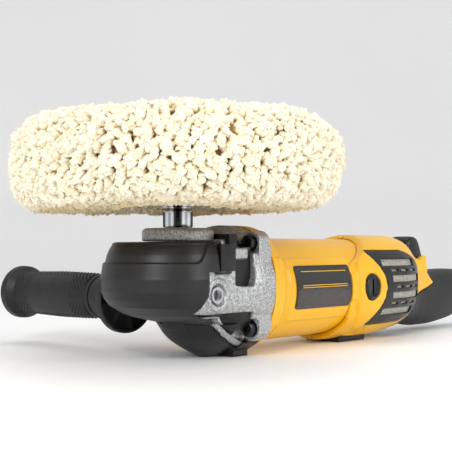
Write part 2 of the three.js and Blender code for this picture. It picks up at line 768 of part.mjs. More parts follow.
const rearGrip = () =>
  cut(
    rearBody(0, 225, HANDLE_BACK).intersect(rubberZone(0)),
    rearBody(-4, 220, HANDLE_BACK - 5.7),
    triggerSlot(GAP),
    rod('x', 395, 430, [0, 37], 9.3, 20)
  );

const MESH_ROWS = [68, 54, 39.5, 25.5];

function ventFrame(side) {
  const rows = MESH_ROWS.map((z, i) => {
    const outer = i === 0 || i === 3;
    const back = outer ? 258 : 270;
    const front = outer ? 203 : 215;
    return box(front, back, -60, 60, z - 3, z + 3);
  });
  const plate = cut(rearBody(1.1, 180, 290), rearBody(-2.4, 170, 300), ...rows);
  return plate.intersect(windowOf(GAP, side));
}

function filterMesh(side) {
  const sheet = cut(rearBody(-2.8, 217, 283), rearBody(-4.2, 170, 300));
  return sheet.intersect(windowOf(2, side)).intersect(box(217, 274, -60, 60, 20.5, 73));
}

const rearFoot = () => box(REAR_FOOT.front, REAR_FOOT.back, -18, 18, 0, 5.6);

const speedDial = () => rod('y', -4.4, 4.4, [DIAL_X, 10], DIAL_RADIUS, 20);

const controlModule = () => box(222, 262, -16, 16, 24, 40);

const switchBody = () => box(304, 346, -9.5, 9.5, 22, 43.4);

// A rounded wedge hinged at its front foot; the post behind it presses on the switch.
function trigger() {
  const paddle = alongY(
    [
      [299, 64], [298, 76], [299, 87], [302, 90.5], [306, 91.8], [312, 91.5], [316.5, 89.5],
      [321, 83], [325.5, 73], [325, 67], [321, 63.5], [318, 61], [303, 61]
    ],
    -TRIGGER.halfWidth, TRIGGER.halfWidth
  );
  const hinge = rod('y', -TRIGGER.halfWidth, TRIGGER.halfWidth, [TRIGGER.x, TRIGGER.z], 3.6, 14);
  return join(paddle, box(316, 321, -5, 5, 53, 62), hinge);
}

const triggerSpring = () => ring('z', 43.7, 60.7, [311, 0], 2.5, 4, 12);

const lockOnButton = () =>
  join(
    rod('y', 14.6, 21.5, [LOCK_ON.x, LOCK_ON.z], 4, 16),
    rod('y', 12, 15, [LOCK_ON.x, LOCK_ON.z], 3, 12)
  );

const cordGland = () =>
  cut(
    turned('x', [[404.5, 0], [404.5, 9], [417.5, 9], [420, 7.4], [420, 0]], [0, 37], 20),
    rod('x', 400, 430, [0, 37], 4.6, 16)
  );

// A thin plate bent over the side of the motor housing.
function label(side) {
  const band = ring('x', 86, 158.5, [0, MOTOR_Z], HOUSING_RADIUS + GAP, HOUSING_RADIUS + 0.9, 48);
  const edge = side > 0 ? [20, 60] : [-60, -20];
  return band.intersect(box(80, 170, ...edge, LABEL_Z - 16.8, LABEL_Z + 16.8));
}

// ---------------------------------------------------------------- the assembly

const polisher = new THREE.Group();

function place(name, shape, material) {
  const { vertProperties, triVerts } = shape.getMesh();
  const geometry = new THREE.BufferGeometry();
  geometry.setAttribute('position', new THREE.BufferAttribute(vertProperties, 3));
  geometry.setIndex(new THREE.BufferAttribute(triVerts, 1));
  geometry.computeVertexNormals();
  const mesh = new THREE.Mesh(geometry, material);
  mesh.name = name;
  polisher.add(mesh);
}

place('gear_case', gearCase(), CAST);
place('spindle_retainer', spindleRetainer(), CAST);
place('front_boot', frontBoot(), RUBBER);
place('crown_foot', crownFoot(), RUBBER);
place('intermediate_plate', intermediatePlate(), CAST);
screwPlaces().forEach((spot, i) => place(`flange_screw_${i + 1}`, flangeScrew(spot), DARK_STEEL));

place('motor_housing', motorHousing(), YELLOW);
place('stator_core', statorCore(), IRON);
place('stator_windings', statorWindings(), COPPER);
place('armature_shaft', armatureShaft(), STEEL);
place('armature_core', armatureCore(), IRON);
place('commutator', commutator(), COPPER);
place('cooling_fan', coolingFan(), BLACK);
place('label_near', label(-1), LABEL);
place('label_far', label(1), LABEL);
for (const [side, turn] of [['near', (shape) => shape], ['far', mirrorY]]) {
  place(`brush_holder_${side}`, turn(brushHolder()), BLACK);
  place(`carbon_brush_${side}`, turn(carbonBrush()), CARBON);
  place(`brush_cap_${side}`, turn(brushCap()), BLACK);
}

place('layshaft', layshaft(), STEEL);
place('layshaft_gear', layGear(), STEEL);
place('bevel_pinion', bevelPinion(), STEEL);
place('ring_gear', ringGear(), STEEL);
place('spindle', spindle(), STEEL);
for (const [name, shape] of bearings()) place(name, shape, STEEL);
place('spindle_lock_button', spindleLockButton(), BLACK);
place('spindle_lock_spring', spindleLockSpring(), STEEL);

place('pad_adapter', padAdapter(), CHROME);
place('pad_hub', padHub(), BLACK);
place('pad_nut', padNut(), STEEL);
place('wool_pad', woolPad(), WOOL);

place('side_handle_stud', sideHandleStud(), STEEL);
place('side_handle_guard', sideHandleGuard(), RUBBER);
place('side_handle_grip', sideHandleGrip(), RUBBER);

place('handle_shell_near', handleShell(-1), YELLOW);
place('handle_shell_far', handleShell(1), YELLOW);
place('rear_grip', rearGrip(), RUBBER);
place('vent_frame_near', ventFrame(-1), BLACK);
place('vent_frame_far', ventFrame(1), BLACK);
place('filter_mesh_near', filterMesh(-1), MESH);
place('filter_mesh_far', filterMesh(1), MESH);
place('rear_foot', rearFoot(), RUBBER);
place('speed_dial', speedDial(), BLACK);
place('control_module', controlModule(), BLACK);
place('switch_body', switchBody(), BLACK);
place('trigger', trigger(), BLACK);
place('trigger_spring', triggerSpring(), STEEL);
place('lock_on_button', lockOnButton(), BLACK);
place('cord_gland', cordGland(), RUBBER);

polisher.position.x = -(FOOT.front + FOOT.back) / 2;
polisher.updateMatrixWorld(true);

export default polisher;
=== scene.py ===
# Rotary polisher with a wool pad, lying on its crown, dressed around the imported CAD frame.
import json
import math

import bmesh
import bpy
import numpy as np
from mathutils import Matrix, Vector


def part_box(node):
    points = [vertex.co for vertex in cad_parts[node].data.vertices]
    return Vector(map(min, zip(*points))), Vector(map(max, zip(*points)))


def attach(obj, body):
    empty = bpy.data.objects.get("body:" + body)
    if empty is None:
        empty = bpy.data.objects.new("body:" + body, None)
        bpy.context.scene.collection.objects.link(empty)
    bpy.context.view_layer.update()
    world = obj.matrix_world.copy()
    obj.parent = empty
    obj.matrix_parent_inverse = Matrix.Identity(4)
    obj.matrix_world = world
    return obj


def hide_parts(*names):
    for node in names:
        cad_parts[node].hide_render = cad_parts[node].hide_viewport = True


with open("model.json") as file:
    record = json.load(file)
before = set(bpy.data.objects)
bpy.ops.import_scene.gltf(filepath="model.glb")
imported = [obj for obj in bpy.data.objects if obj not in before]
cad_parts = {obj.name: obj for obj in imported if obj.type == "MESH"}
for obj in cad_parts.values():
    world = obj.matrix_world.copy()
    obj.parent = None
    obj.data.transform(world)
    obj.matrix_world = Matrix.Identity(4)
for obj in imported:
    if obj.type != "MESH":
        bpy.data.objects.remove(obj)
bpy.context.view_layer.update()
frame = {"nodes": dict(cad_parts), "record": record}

# ---------------------------------------------------------------- places, from the frame

MM = 0.001
SPINDLE = [np.array(corner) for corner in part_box("spindle")]
ORIGIN = np.array([*(sum(SPINDLE) / 2)[:2], 0.0])  # the spindle's axis on the floor


def low_high(node):
    """A node's corners in millimetres, measured from the spindle's axis on the floor."""
    return [(np.array(corner) - ORIGIN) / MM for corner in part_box(node)]


def middle(node):
    return sum(low_high(node)) / 2


MOTOR_Z = middle("armature_core")[2]
LAY_Z = middle("layshaft")[2]
HANDLE_X = middle("side_handle_grip")[0]
HANDLE_Z = middle("side_handle_grip")[2]
PAD_LOW, PAD_HIGH = low_high("wool_pad")
BOOT_LOW, BOOT_HIGH = low_high("front_boot")
BOOT_TOP = BOOT_HIGH[2]
NOSE_RADIUS = 46  # half the width of the boot at its front
NOSE_X = BOOT_LOW[0] + NOSE_RADIUS + 0.3
NOSE_BOTTOM = [(31, 28, 39.5, 0), (34, 33.5, 42.5, -4), (40, 41, 45, -9)]  # z, radius, half width, centre
KEEL_X = 30  # centre of the chin's curve
CASE_HALF_WIDTH = 41.4
CASE_TOP = BOOT_TOP - 4
FLANGE_BACK = low_high("gear_case")[1][0]
FLANGE_FRONT = FLANGE_BACK - 14
FLANGE_TOP = low_high("gear_case")[1][2]
FLANGE_RADIUS = 46.5
FLANGE_Z = FLANGE_TOP - FLANGE_RADIUS
HOUSING_FRONT, HOUSING_BACK = (low_high("motor_housing")[i][0] for i in (0, 1))
HOUSING_RADIUS = 41.5
BRUSH_X, BRUSH_Z = middle("brush_cap_near")[[0, 2]]
SCREWS = [middle(f"flange_screw_{i}") for i in (1, 2, 3, 4)]
CAP_FRONT = low_high("handle_shell_near")[0][0]
HANDLE_BACK = low_high("rear_grip")[1][0]
RUBBER_FRONT = 298
FOOT_LOW, FOOT_HIGH = low_high("rear_foot")
SIDES = ((-1, "near"), (1, "far"))
GAP = 0.3  # between parts that don't touch
LOCK_PIN = (4, 68.5)  # the spindle lock's pin, in x and z
LOCK_ON = tuple(middle("lock_on_button")[[0, 2]])
TRIGGER_PIVOT = (303, 62)  # in x and z
GLAND = (0, middle("cord_gland")[2])

# ---------------------------------------------------------------- materials


class Paint:
    """A material's nodes, with short names for what the finishes here need."""

    def __init__(self, name, roughness=0.5, metallic=0.0, **fixed):
        self.material = bpy.data.materials.new(name)
        self.material.use_nodes = True
        self.tree = self.material.node_tree
        self.shader = self.tree.nodes["Principled BSDF"]
        self.shader.inputs["Roughness"].default_value = roughness
        self.shader.inputs["Metallic"].default_value = metallic
        for socket, value in fixed.items():
            self.shader.inputs[socket.replace("_", " ")].default_value = value
        self.place = self.node("ShaderNodeTexCoord").outputs["Object"]

    def node(self, kind, **settings):
        made = self.tree.nodes.new(kind)
        for name, value in settings.items():
            setattr(made, name, value)
        return made

    def link(self, a, b):
        self.tree.links.new(a, b)

    def noise(self, size_mm, detail=3.0, roughness=0.5, stretch=None):
        """Noise whose features are about size_mm across."""
        made = self.node("ShaderNodeTexNoise")
        made.inputs["Scale"].default_value = 1 / (size_mm * MM)
        made.inputs["Detail"].default_value = detail
        made.inputs["Roughness"].default_value = roughness
        source = self.place
        if stretch:
            mapping = self.node("ShaderNodeMapping")
            mapping.inputs["Scale"].default_value = stretch
            self.link(self.place, mapping.inputs["Vector"])
            source = mapping.outputs["Vector"]
        self.link(source, made.inputs["Vector"])
        return made.outputs["Fac"]

    def ramp(self, value, stops):
        made = self.node("ShaderNodeValToRGB")
        ramp = made.color_ramp
        while len(ramp.elements) < len(stops):
            ramp.elements.new(0.5)
        for element, (at, color) in zip(ramp.elements, stops):
            element.position = at
            element.color = (*color, 1)
        self.link(value, made.inputs["Fac"])
        return made.outputs["Color"]

    def color(self, socket):
        self.link(socket, self.shader.inputs["Base Color"])
        return self

    def rough(self, value, low, high):
        made = self.node("ShaderNodeMapRange")
        made.inputs["To Min"].default_value = low
        made.inputs["To Max"].default_value = high
        self.link(value, made.inputs["Value"])
        self.link(made.outputs["Result"], self.shader.inputs["Roughness"])
        return self

    def bump(self, height, depth_mm, strength=1.0):
        made = self.node("ShaderNodeBump")
        made.inputs["Strength"].default_value = strength
        made.inputs["Distance"].default_value = depth_mm * MM
        self.link(height, made.inputs["Height"])
        if self.shader.inputs["Normal"].links:
            self.link(self.shader.inputs["Normal"].links[0].from_socket, made.inputs["Normal"])
        self.link(made.outputs["Normal"], self.shader.inputs["Normal"])
        return self


def srgb(r, g, b):
    """An sRGB colour of 0 to 255 as the linear values that shaders take."""
    return tuple(((c / 255 + 0.055) / 1.055) ** 2.4 if c > 10 else c / 255 / 12.92 for c in (r, g, b))


def shaded(paint, size_mm, dark, light, spread=0.25):
    """Colour that drifts between two shades."""
    return paint.color(paint.ramp(paint.noise(size_mm), [(0.5 - spread, dark), (0.5 + spread, light)]))


def yellow_plastic():
    paint = Paint("yellow_plastic", 0.34, Coat_Weight=0.15, Coat_Roughness=0.25)
    shaded(paint, 60, srgb(240, 176, 2), srgb(246, 190, 6))
    return paint.rough(paint.noise(6), 0.3, 0.42).bump(paint.noise(0.5), 0.02).material


def black_rubber(name="black_rubber", shade=36, low=0.42, high=0.62):
    paint = Paint(name, 0.55, Specular_IOR_Level=0.4)
    shaded(paint, 9, srgb(shade - 5, shade - 5, shade - 4), srgb(shade + 6, shade + 6, shade + 6))
    return paint.rough(paint.noise(14), low, high).bump(paint.noise(0.6), 0.04).material


def cast_aluminium():
    paint = Paint("cast_aluminium", 0.45, 0.55)
    fine = paint.noise(1.2, 4.0, 0.75)
    paint.color(paint.ramp(fine, [
        (0.34, srgb(92, 94, 96)), (0.47, srgb(164, 166, 168)), (0.62, srgb(214, 216, 218))]))
    return paint.rough(fine, 0.3, 0.6).bump(fine, 0.12, 0.8).material


def machined(name, color, roughness=0.25):
    paint = Paint(name, roughness, 1.0)
    grain = paint.noise(0.8, stretch=(1, 1, 12))
    paint.color(paint.ramp(grain, [(0.3, tuple(c * 0.8 for c in color)), (0.7, color)]))
    return paint.rough(grain, roughness * 0.7, roughness * 1.4).material


def chrome():
    """Polished steel, with the dark bands that a round bar picks up from a room painted into its colour as a
    painted reflection.
    """
    reflection_half_bands = 8
    paint = Paint("chrome", 0.12, 1.0)
    place = paint.node("ShaderNodeMapping")
    place.inputs["Location"].default_value = (-ORIGIN[0], -ORIGIN[1], 0)
    paint.link(paint.place, place.inputs["Vector"])
    around = paint.node("ShaderNodeTexGradient", gradient_type="RADIAL")
    paint.link(place.outputs["Vector"], around.inputs["Vector"])
    repeat = paint.node("ShaderNodeMath", operation="PINGPONG")
    repeat.inputs[1].default_value = 1 / reflection_half_bands
    paint.link(around.outputs["Fac"], repeat.inputs[0])
    widen = paint.node("ShaderNodeMath", operation="MULTIPLY")
    widen.inputs[1].default_value = reflection_half_bands
    paint.link(repeat.outputs[0], widen.inputs[0])
    # painted reflection: light and dark bands round the spindle's axis, fixed to the part
    paint.color(paint.ramp(widen.outputs[0], [
        (0.1, srgb(168, 170, 174)), (0.36, srgb(234, 236, 240)), (0.56, srgb(190, 192, 196)),
        (0.66, srgb(70, 70, 72)), (0.9, srgb(34, 34, 36))]))
    smear = paint.noise(5, stretch=(1, 1, 4))
    return paint.rough(smear, 0.1, 0.22).material


def wool():
    paint = Paint("wool", 0.95, Sheen_Weight=0.35, Sheen_Roughness=0.5)
    shade_depth = paint.node("ShaderNodeAttribute", attribute_name="shade_depth").outputs["Fac"]
    # painted shade: dark tan where the value is low (tuft roots, the pad's underside, the backing), cream at
    # the tips
    paint.color(paint.ramp(shade_depth, [
        (0.0, srgb(150, 112, 58)), (0.3, srgb(206, 180, 128)),
        (0.55, srgb(238, 226, 196)), (1.0, srgb(250, 243, 222))]))
    fibre = paint.noise(0.7, 5.0, 0.75, stretch=(1, 1, 0.35))
    return paint.bump(fibre, 0.35, 0.9).bump(paint.noise(2.2, 2.0), 0.5, 0.6).material


def label_film():
    paint = Paint("label_film", 0.22, Coat_Weight=0.3, Coat_Roughness=0.1)
    return shaded(paint, 20, srgb(20, 17, 18), srgb(30, 26, 27)).rough(paint.noise(8), 0.18, 0.3).material


def label_grey():
    paint = Paint("label_grey", 0.26, Coat_Weight=0.2, Coat_Roughness=0.15)
    return shaded(paint, 20, srgb(50, 42, 45), srgb(62, 53, 56)).rough(paint.noise(8), 0.2, 0.34).material


def woven_mesh():
    """Fine wires, pale where they rise, with painted shade in the hollows between them."""
    paint = Paint("woven_mesh", 0.5, 0.35)
    scatter = paint.noise(1.1, 5.0, 0.8)
    # painted shade: darker where the noise is low, between the wires
    paint.color(paint.ramp(scatter, [
        (0.38, srgb(70, 66, 60)), (0.5, srgb(176, 172, 162)), (0.7, srgb(226, 224, 216))]))
    return paint.bump(scatter, 0.4).material


def wound_copper():
    paint = Paint("wound_copper", 0.32, 0.9)
    strands = paint.noise(0.9, 1.0, stretch=(6, 1, 1))
    paint.color(paint.ramp(strands, [(0.35, srgb(110, 52, 24)), (0.65, srgb(196, 112, 60))]))
    return paint.bump(strands, 0.2).material


YELLOW = yellow_plastic()
RUBBER = black_rubber(shade=24, low=0.36, high=0.46)
GRIP = black_rubber("grip_rubber", 21, 0.42, 0.55)
BLACK = black_rubber("black_plastic", 15, 0.24, 0.36)
CAST = cast_aluminium()
STEEL = machined("machined_steel", (0.62, 0.63, 0.65))
DARK_STEEL = machined("dark_steel", (0.06, 0.06, 0.065), 0.35)
LAMINATION = machined("laminated_iron", (0.3, 0.31, 0.33), 0.45)
CHROME = chrome()
WOOL = wool()
LABEL = label_film()
LABEL_GREY = label_grey()
MESH = woven_mesh()
COPPER = wound_copper()
CARBON = black_rubber("carbon", 22, 0.7, 0.9)

# ---------------------------------------------------------------- solids, in millimetres


def raw(points, faces):
    """A plain object from millimetre points, not yet a piece."""
    mesh = bpy.data.meshes.new("solid")
    places = np.asarray(points, float) * MM + ORIGIN
    mesh.from_pydata(places.tolist(), [], [list(map(int, face)) for face in faces])
    mesh.validate()
    made = bpy.data.objects.new("solid", mesh)
    bpy.context.scene.collection.objects.link(made)
    return made


def outward(points, faces):
    """The faces, turned round if they enclose a negative volume."""
    volume = 0.0
    for face in faces:
        a = points[face[0]]
        for b, c in zip(face[1:-1], face[2:]):
            volume += np.dot(a, np.cross(points[b], points[c]))
    return faces if volume > 0 else [face[::-1] for face in faces]


def loft(sections):
    """A skin over sections with the same number of corners, closed by a face at each end."""
    sections = [np.asarray(section, float) for section in sections]
    count = len(sections[0])
    points = np.concatenate(sections)
    faces = []
    for s in range(len(sections) - 1):
        for i in range(count):
            a, b = s * count + i, s * count + (i + 1) % count
            faces.append([a, b, b + count, a + count])
    last = (len(sections) - 1) * count
    faces.append(list(range(count))[::-1])
    faces.append([last + i for i in range(count)])
    return raw(points, outward(points, faces))


def axes(axis, along, u, v):
    """Points from their place along an axis and the other two coordinates, in X, Y, Z order."""
    along, u, v = np.broadcast_arrays(along, u, v)
    order = {"x": (along, u, v), "y": (u, along, v), "z": (u, v, along)}[axis]
    return np.stack(order, -1)


def turned(axis, profile, centre, sides=96):
    """A turned solid: (along, radius) points from one end to the other."""
    angles = np.linspace(0, 2 * math.pi, sides, endpoint=False)
    return loft([
        axes(axis, along, centre[0] + radius * np.cos(angles), centre[1] + radius * np.sin(angles))
        for along, radius in ((a, max(r, 0.01)) for a, r in profile)
    ])


def rod(axis, start, end, centre, radius, sides=64):
    return turned(axis, [(start, radius), (end, radius)], centre, sides)


def flank(side, inner, outer):
    """The span in y from inner to outer, on the near side (-1) or the far side (1)."""
    return (inner, outer) if side > 0 else (-outer, -inner)


def block(x0, x1, y0, y1, z0, z1):
    corners = [(y0, z0), (y1, z0), (y1, z1), (y0, z1)]
    return loft([[(x, y, z) for y, z in corners] for x in (x0, x1)])


def prism(axis, outline, start, end):
    """An outline of the other two coordinates, in X, Y, Z order, drawn out along an axis."""
    outline = np.asarray(outline, float)
    return loft([axes(axis, at, outline[:, 0], outline[:, 1]) for at in (start, end)])


def combine(whole, tools, operation):
    for tool in tools:
        boolean = whole.modifiers.new("cut", "BOOLEAN")
        boolean.operation = operation
        boolean.solver = "MANIFOLD"
        boolean.object = tool
        settle(whole)
        bpy.data.objects.remove(tool)
    return whole


def settle(piece):
    """Applies a piece's modifiers to its mesh."""
    graph = bpy.context.evaluated_depsgraph_get()
    made = bpy.data.meshes.new_from_object(piece.evaluated_get(graph), depsgraph=graph)
    old = piece.data
    piece.modifiers.clear()
    piece.data = made
    bpy.data.meshes.remove(old)
    return piece


def join(whole, *more):
    return combine(whole, more, "UNION")


def cut(whole, *tools):
    return combine(whole, tools, "DIFFERENCE")


def both(whole, *tools):
    return combine(whole, tools, "INTERSECT")


def copy_of(piece):
    made = piece.copy()
    made.data = piece.data.copy()
    bpy.context.scene.collection.objects.link(made)
    return made


def mirrored(piece):
    """A copy on the other side of the tool's middle plane."""
    made = copy_of(piece)
    for vertex in made.data.vertices:
        vertex.co.y = 2 * ORIGIN[1] - vertex.co.y
    made.data.flip_normals()
    return made


def moulded(piece, voxel_mm=0.8, rounds=4):
    """Rounds every edge a little, as a mould does."""
    remesh = piece.modifiers.new("even", "REMESH")
    remesh.mode = "VOXEL"
    remesh.voxel_size = voxel_mm * MM
    remesh.adaptivity = 0.0
    smooth = piece.modifiers.new("round", "SMOOTH")
    smooth.factor = 0.5
    smooth.iterations = rounds
    return settle(piece)


def bevelled(piece, width_mm=0.5, angle=35):
    bevel = piece.modifiers.new("bevel", "BEVEL")
    bevel.width = width_mm * MM
    bevel.segments = 3
    bevel.limit_method = "ANGLE"
    bevel.angle_limit = math.radians(angle)
    return settle(piece)


def place(piece, name, material, body, slot, *nodes):
    """Names a solid and makes it a piece of the model."""
    piece.name = piece.data.name = name
    piece.data.materials.clear()
    piece.data.materials.append(material)
    piece.data.shade_smooth()
    piece.data.set_sharp_from_angle(angle=math.radians(40))
    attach(piece, body)
    if nodes:
        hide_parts(*nodes)
    return piece


def section_x(x, half_width, z, half_height, square=2.0, corners=96):
    """A rounded section across the tool."""
    angles = (np.arange(corners) + 0.5) * 2 * math.pi / corners
    c, s = np.cos(angles), np.sin(angles)
    power = 2 / square
    y = np.sign(c) * np.abs(c) ** power * half_width
    rise = np.sign(s) * np.abs(s) ** power * half_height
    return axes("x", x, y, z + rise)


def section_nose(z, radius, half_width, back, centre=NOSE_X, arcs=48):
    """A level section of the nose: half an oval in front and straight sides."""
    angles = -math.pi / 2 - np.linspace(0, math.pi, arcs + 1)
    arc = axes("z", z, centre + radius * np.cos(angles), half_width * np.sin(angles))
    return np.concatenate([[(back, -half_width, z)], arc, [(back, half_width, z)]])


def rounded(width, height, centre, radius, steps=8):
    """A rounded rectangle of (y, z) points."""
    points = []
    for quarter in range(4):
        right = 1 if quarter in (0, 3) else -1
        up = 1 if quarter < 2 else -1
        for i in range(steps + 1):
            angle = (quarter + i / steps) * math.pi / 2
            points.append((
                right * (width / 2 - radius) + radius * math.cos(angle),
                centre + up * (height / 2 - radius) + radius * math.sin(angle)))
    return points


def eased(at, xs, ys):
    """A smooth curve through points, read at other places."""
    xs, ys = np.asarray(xs, float), np.asarray(ys, float)
    slopes = np.gradient(ys, xs)
    i = np.clip(np.searchsorted(xs, at) - 1, 0, len(xs) - 2)
    h = xs[i + 1] - xs[i]
    t = (at - xs[i]) / h
    return (
        (2 * t**3 - 3 * t**2 + 1) * ys[i] + (t**3 - 2 * t**2 + t) * h * slopes[i]
        + (3 * t**2 - 2 * t**3) * ys[i + 1] + (t**3 - t**2) * h * slopes[i + 1])


# ---------------------------------------------------------------- pad, adapter and ring


def wool_fleece():
    """Thousands of small curled tufts over a round disc, packed as close as twisted wool is."""
    count = 7200
    rng = np.random.default_rng(7)
    radius, low, high = PAD_HIGH[0], PAD_LOW[2], PAD_HIGH[2]
    centre = (low + high) / 2
    hole = 32
    outline = np.array([
        (hole, low + 9), (48, low + 4), (75, low + 2.5), (98, low + 3), (108, low + 8), (114, low + 18),
        (radius - 2, centre), (114, high - 17), (107, high - 8), (96, high - 3.5), (70, high - 2),
        (45, high - 3), (hole, high - 9)])
    steps = np.r_[0, np.cumsum(np.linalg.norm(np.diff(outline, axis=0), axis=1))]
    fine = np.linspace(0, steps[-1], 160)
    profile = np.stack([np.interp(fine, steps, outline[:, k]) for k in (0, 1)], 1)
    kernel = np.ones(9) / 9
    padded = np.pad(profile, ((4, 4), (0, 0)), mode="edge")
    profile = np.stack([np.convolve(padded[:, k], kernel, "valid") for k in (0, 1)], 1)
    share = np.cumsum(profile[:, 0])
    share /= share[-1]

    # one tuft in each equal share of the surface, turned on by the golden angle
    at = (np.arange(count) + 0.5) / count
    row = np.interp(at + rng.uniform(-1, 1, count) * 0.0012, share, np.arange(len(profile)))
    r = np.interp(row, np.arange(len(profile)), profile[:, 0])
    z = np.interp(row, np.arange(len(profile)), profile[:, 1])
    slope = np.gradient(profile, axis=0)
    nr = np.interp(row, np.arange(len(profile)), slope[:, 1])
    nz = np.interp(row, np.arange(len(profile)), -slope[:, 0])
    length = np.hypot(nr, nz)
    nr, nz = nr / length, nz / length
    turn = np.arange(count) * math.pi * (3 - math.sqrt(5)) + rng.normal(0, 0.012, count)
    normal = np.stack([nr * np.cos(turn), nr * np.sin(turn), nz], 1)
    centres = np.stack([r * np.cos(turn), r * np.sin(turn), z], 1)
    droop = np.clip(np.cos(turn - 2.35), 0, 1) * (r / radius) ** 2
    centres[:, 2] -= 3.5 * droop
    swell = (np.sin(turn * 3 + z * 0.11) + np.sin(turn * 7 - z * 0.07 + r * 0.05)) * 0.7
    centres += normal * (rng.uniform(-0.9, 1.0, count) + swell)[:, None]

    ball = bpy.data.meshes.new("ball")
    shape = bmesh.new()
    bmesh.ops.create_icosphere(shape, subdivisions=2, radius=1)
    shape.to_mesh(ball)
    shape.free()
    unit = np.array([v.co for v in ball.vertices])
    triangles = np.array([p.vertices for p in ball.polygons])
    bpy.data.meshes.remove(ball)

    # each tuft gets its own frame: along its normal, and a random lean across it
    side = np.cross(normal, rng.normal(size=(count, 3)))
    side /= np.linalg.norm(side, axis=1)[:, None]
    other = np.cross(normal, side)
    lean = normal + side * rng.uniform(-0.55, 0.55, count)[:, None]
    lean[:, 2] -= 0.15
    lean /= np.linalg.norm(lean, axis=1)[:, None]
    size = rng.uniform(2.1, 3.3, count)[:, None, None]
    long = rng.uniform(1.15, 1.7, count)[:, None, None]
    wide = rng.uniform(0.95, 1.3, count)[:, None, None]
    lump = 1 + 0.16 * np.sin(unit @ rng.normal(size=(3, 5)) * 4.2 + 1).sum(1) / 2
    u = (unit * lump[:, None])[None]
    body = (
        u[..., 0:1] * side[:, None] * wide
        + u[..., 1:2] * other[:, None]
        + u[..., 2:3] * lean[:, None] * long
    ) * size
    wobble = 0.35 * np.sin(body @ rng.normal(size=(3, 3)) * 1.3 + rng.uniform(0, 6, (count, 1, 3)))
    body = body + wobble
    points = (centres[:, None] + body).reshape(-1, 3)
    faces = (triangles[None] + (np.arange(count) * len(unit))[:, None, None]).reshape(-1, 3)
    height = np.einsum("nkj,nj->nk", body, normal)
    # painted shade: each tuft darker towards its root, where shade falls between tufts; the next line adds a
    # random tone per tuft
    shade_depth = np.clip((height + 1.2) / 4.6, 0, 1).ravel()
    shade_depth = np.clip(shade_depth + np.repeat(rng.uniform(-0.12, 0.12, count), len(unit)), 0, 1)
    # painted shadow: darker still on the underside, inside the rim
    shade_below = np.clip((low + 10 - points[:, 2]) / 14, 0, 1)
    shade_within = np.clip((108 - np.hypot(*points[:, :2].T)) / 14, 0, 1)
    shade_depth = shade_depth * (1 - 0.62 * shade_below * shade_within)

    fleece = raw(points, faces)
    fleece.data.attributes.new("shade_depth", "FLOAT", "POINT").data.foreach_set("value", shade_depth)
    place(fleece, "wool_fleece", WOOL, "spindle", "wool", "wool_pad")
    angles = np.linspace(0, 2 * math.pi, 128, endpoint=False)
    backing = loft([
        axes("z", z, (r - 2.4) * np.cos(angles), (r - 2.4) * np.sin(angles)) for r, z in profile])
    # the backing between the tufts gets a low value: painted shade in the gaps
    shade = np.full(len(backing.data.vertices), 0.12)
    backing.data.attributes.new("shade_depth", "FLOAT", "POINT").data.foreach_set("value", shade)
    place(backing, "wool_backing", WOOL, "spindle", "wool")


def pad_adapter():
    low, high = low_high("pad_adapter")
    top = low_high("pad_hub")[0][2] - 0.3
    radius = high[0]
    sides = [(low[2], radius - 0.8), (low[2] + 0.8, radius), (low[2] + 12, radius),
             (low[2] + 12.6, radius - 0.9), (low[2] + 14.4, radius - 0.9), (low[2] + 15, radius),
             (top - 0.8, radius), (top, radius - 0.8), (top, 7), (high[2], 7)]
    adapter = turned("z", sides, (0, 0), 72)
    flat = radius - 2.3
    cut(
        adapter,
        rod("z", low[2] - 5, low[2] + 17, (0, 0), 7.3),
        block(-40, -flat, -30, 30, low[2] - 3, low[2] + 11),
        block(flat, 40, -30, 30, low[2] - 3, low[2] + 11),
        block(-30, 30, -40, -flat, low[2] - 3, low[2] + 11),
        block(-30, 30, flat, 40, low[2] - 3, low[2] + 11))
    place(bevelled(adapter, 0.35), "adapter", CHROME, "spindle", "chrome", "pad_adapter")


def retainer_ring():
    low, high = low_high("spindle_retainer")
    bottom, top, radius = low[2], high[2], high[0]
    ring = turned("z", [(bottom, radius - 1), (bottom + 0.8, radius), (top - 2.4, radius),
                        (top - 1.2, radius - 0.7), (top - 0.3, radius - 2), (top, radius - 3.2)], (0, 0), 128)
    cut(ring, rod("z", bottom - 4, top + 4, (0, 0), 11.6))
    cut(ring, turned("z", [(top - 1.6, 13), (top + 1, 17)], (0, 0)))
    place(bevelled(ring, 0.4), "retainer_ring", CAST, "housing", "cast_aluminium", "spindle_retainer")


# ---------------------------------------------------------------- gear case, boot and crown


def nose_body(inset, room=0):
    """The nose under the boot, smaller by inset and longer by room."""
    back = FLANGE_BACK
    top = NOSE_RADIUS - 0.3 - inset
    return loft([
        *(section_nose(z - room, r - inset, hw - 4 + room, back, x) for z, r, hw, x in NOSE_BOTTOM),
        *(section_nose(z, top, CASE_HALF_WIDTH + room, back) for z in (50, 69)),
        section_nose(CASE_TOP + room, 40.5 - inset, CASE_HALF_WIDTH - 2 + room, back)])


def keel(inset):
    """The crown: a round chin that sweeps down and back to the flat foot."""
    heights = (1, 4, 9, 15, 21.6, 27, 33)
    fronts = (9, 14.5, 22.5, 29.5, 33.2, 36, 38)
    halves = (8, 14, 23.5, 31.5, 37.7, 40.5, 41)
    shift = 0.65 * inset
    rows = [section_nose(1 + inset, 9 - shift, 8 - shift, 60, KEEL_X)]
    for z in np.linspace(2.5, 33, 26):
        a, b = eased(z, heights, fronts), eased(z, heights, halves)
        if z + shift > 1.4 + inset:
            rows.append(section_nose(z + shift, a - shift, b - shift, 60, KEEL_X))
    return loft(rows)


def spindle_seat(radius):
    """The boss that holds the spindle's lower bearing."""
    return rod("z", 23.4, 34, (0, 0), radius)


# the pocket in each side of the head, in x and z
SIDE_POCKET = [(17, 54), (34, 53), (36.5, 62), (37, 80.5), (27.6, 80.5), (27.6, 72.5), (17, 72.5)]


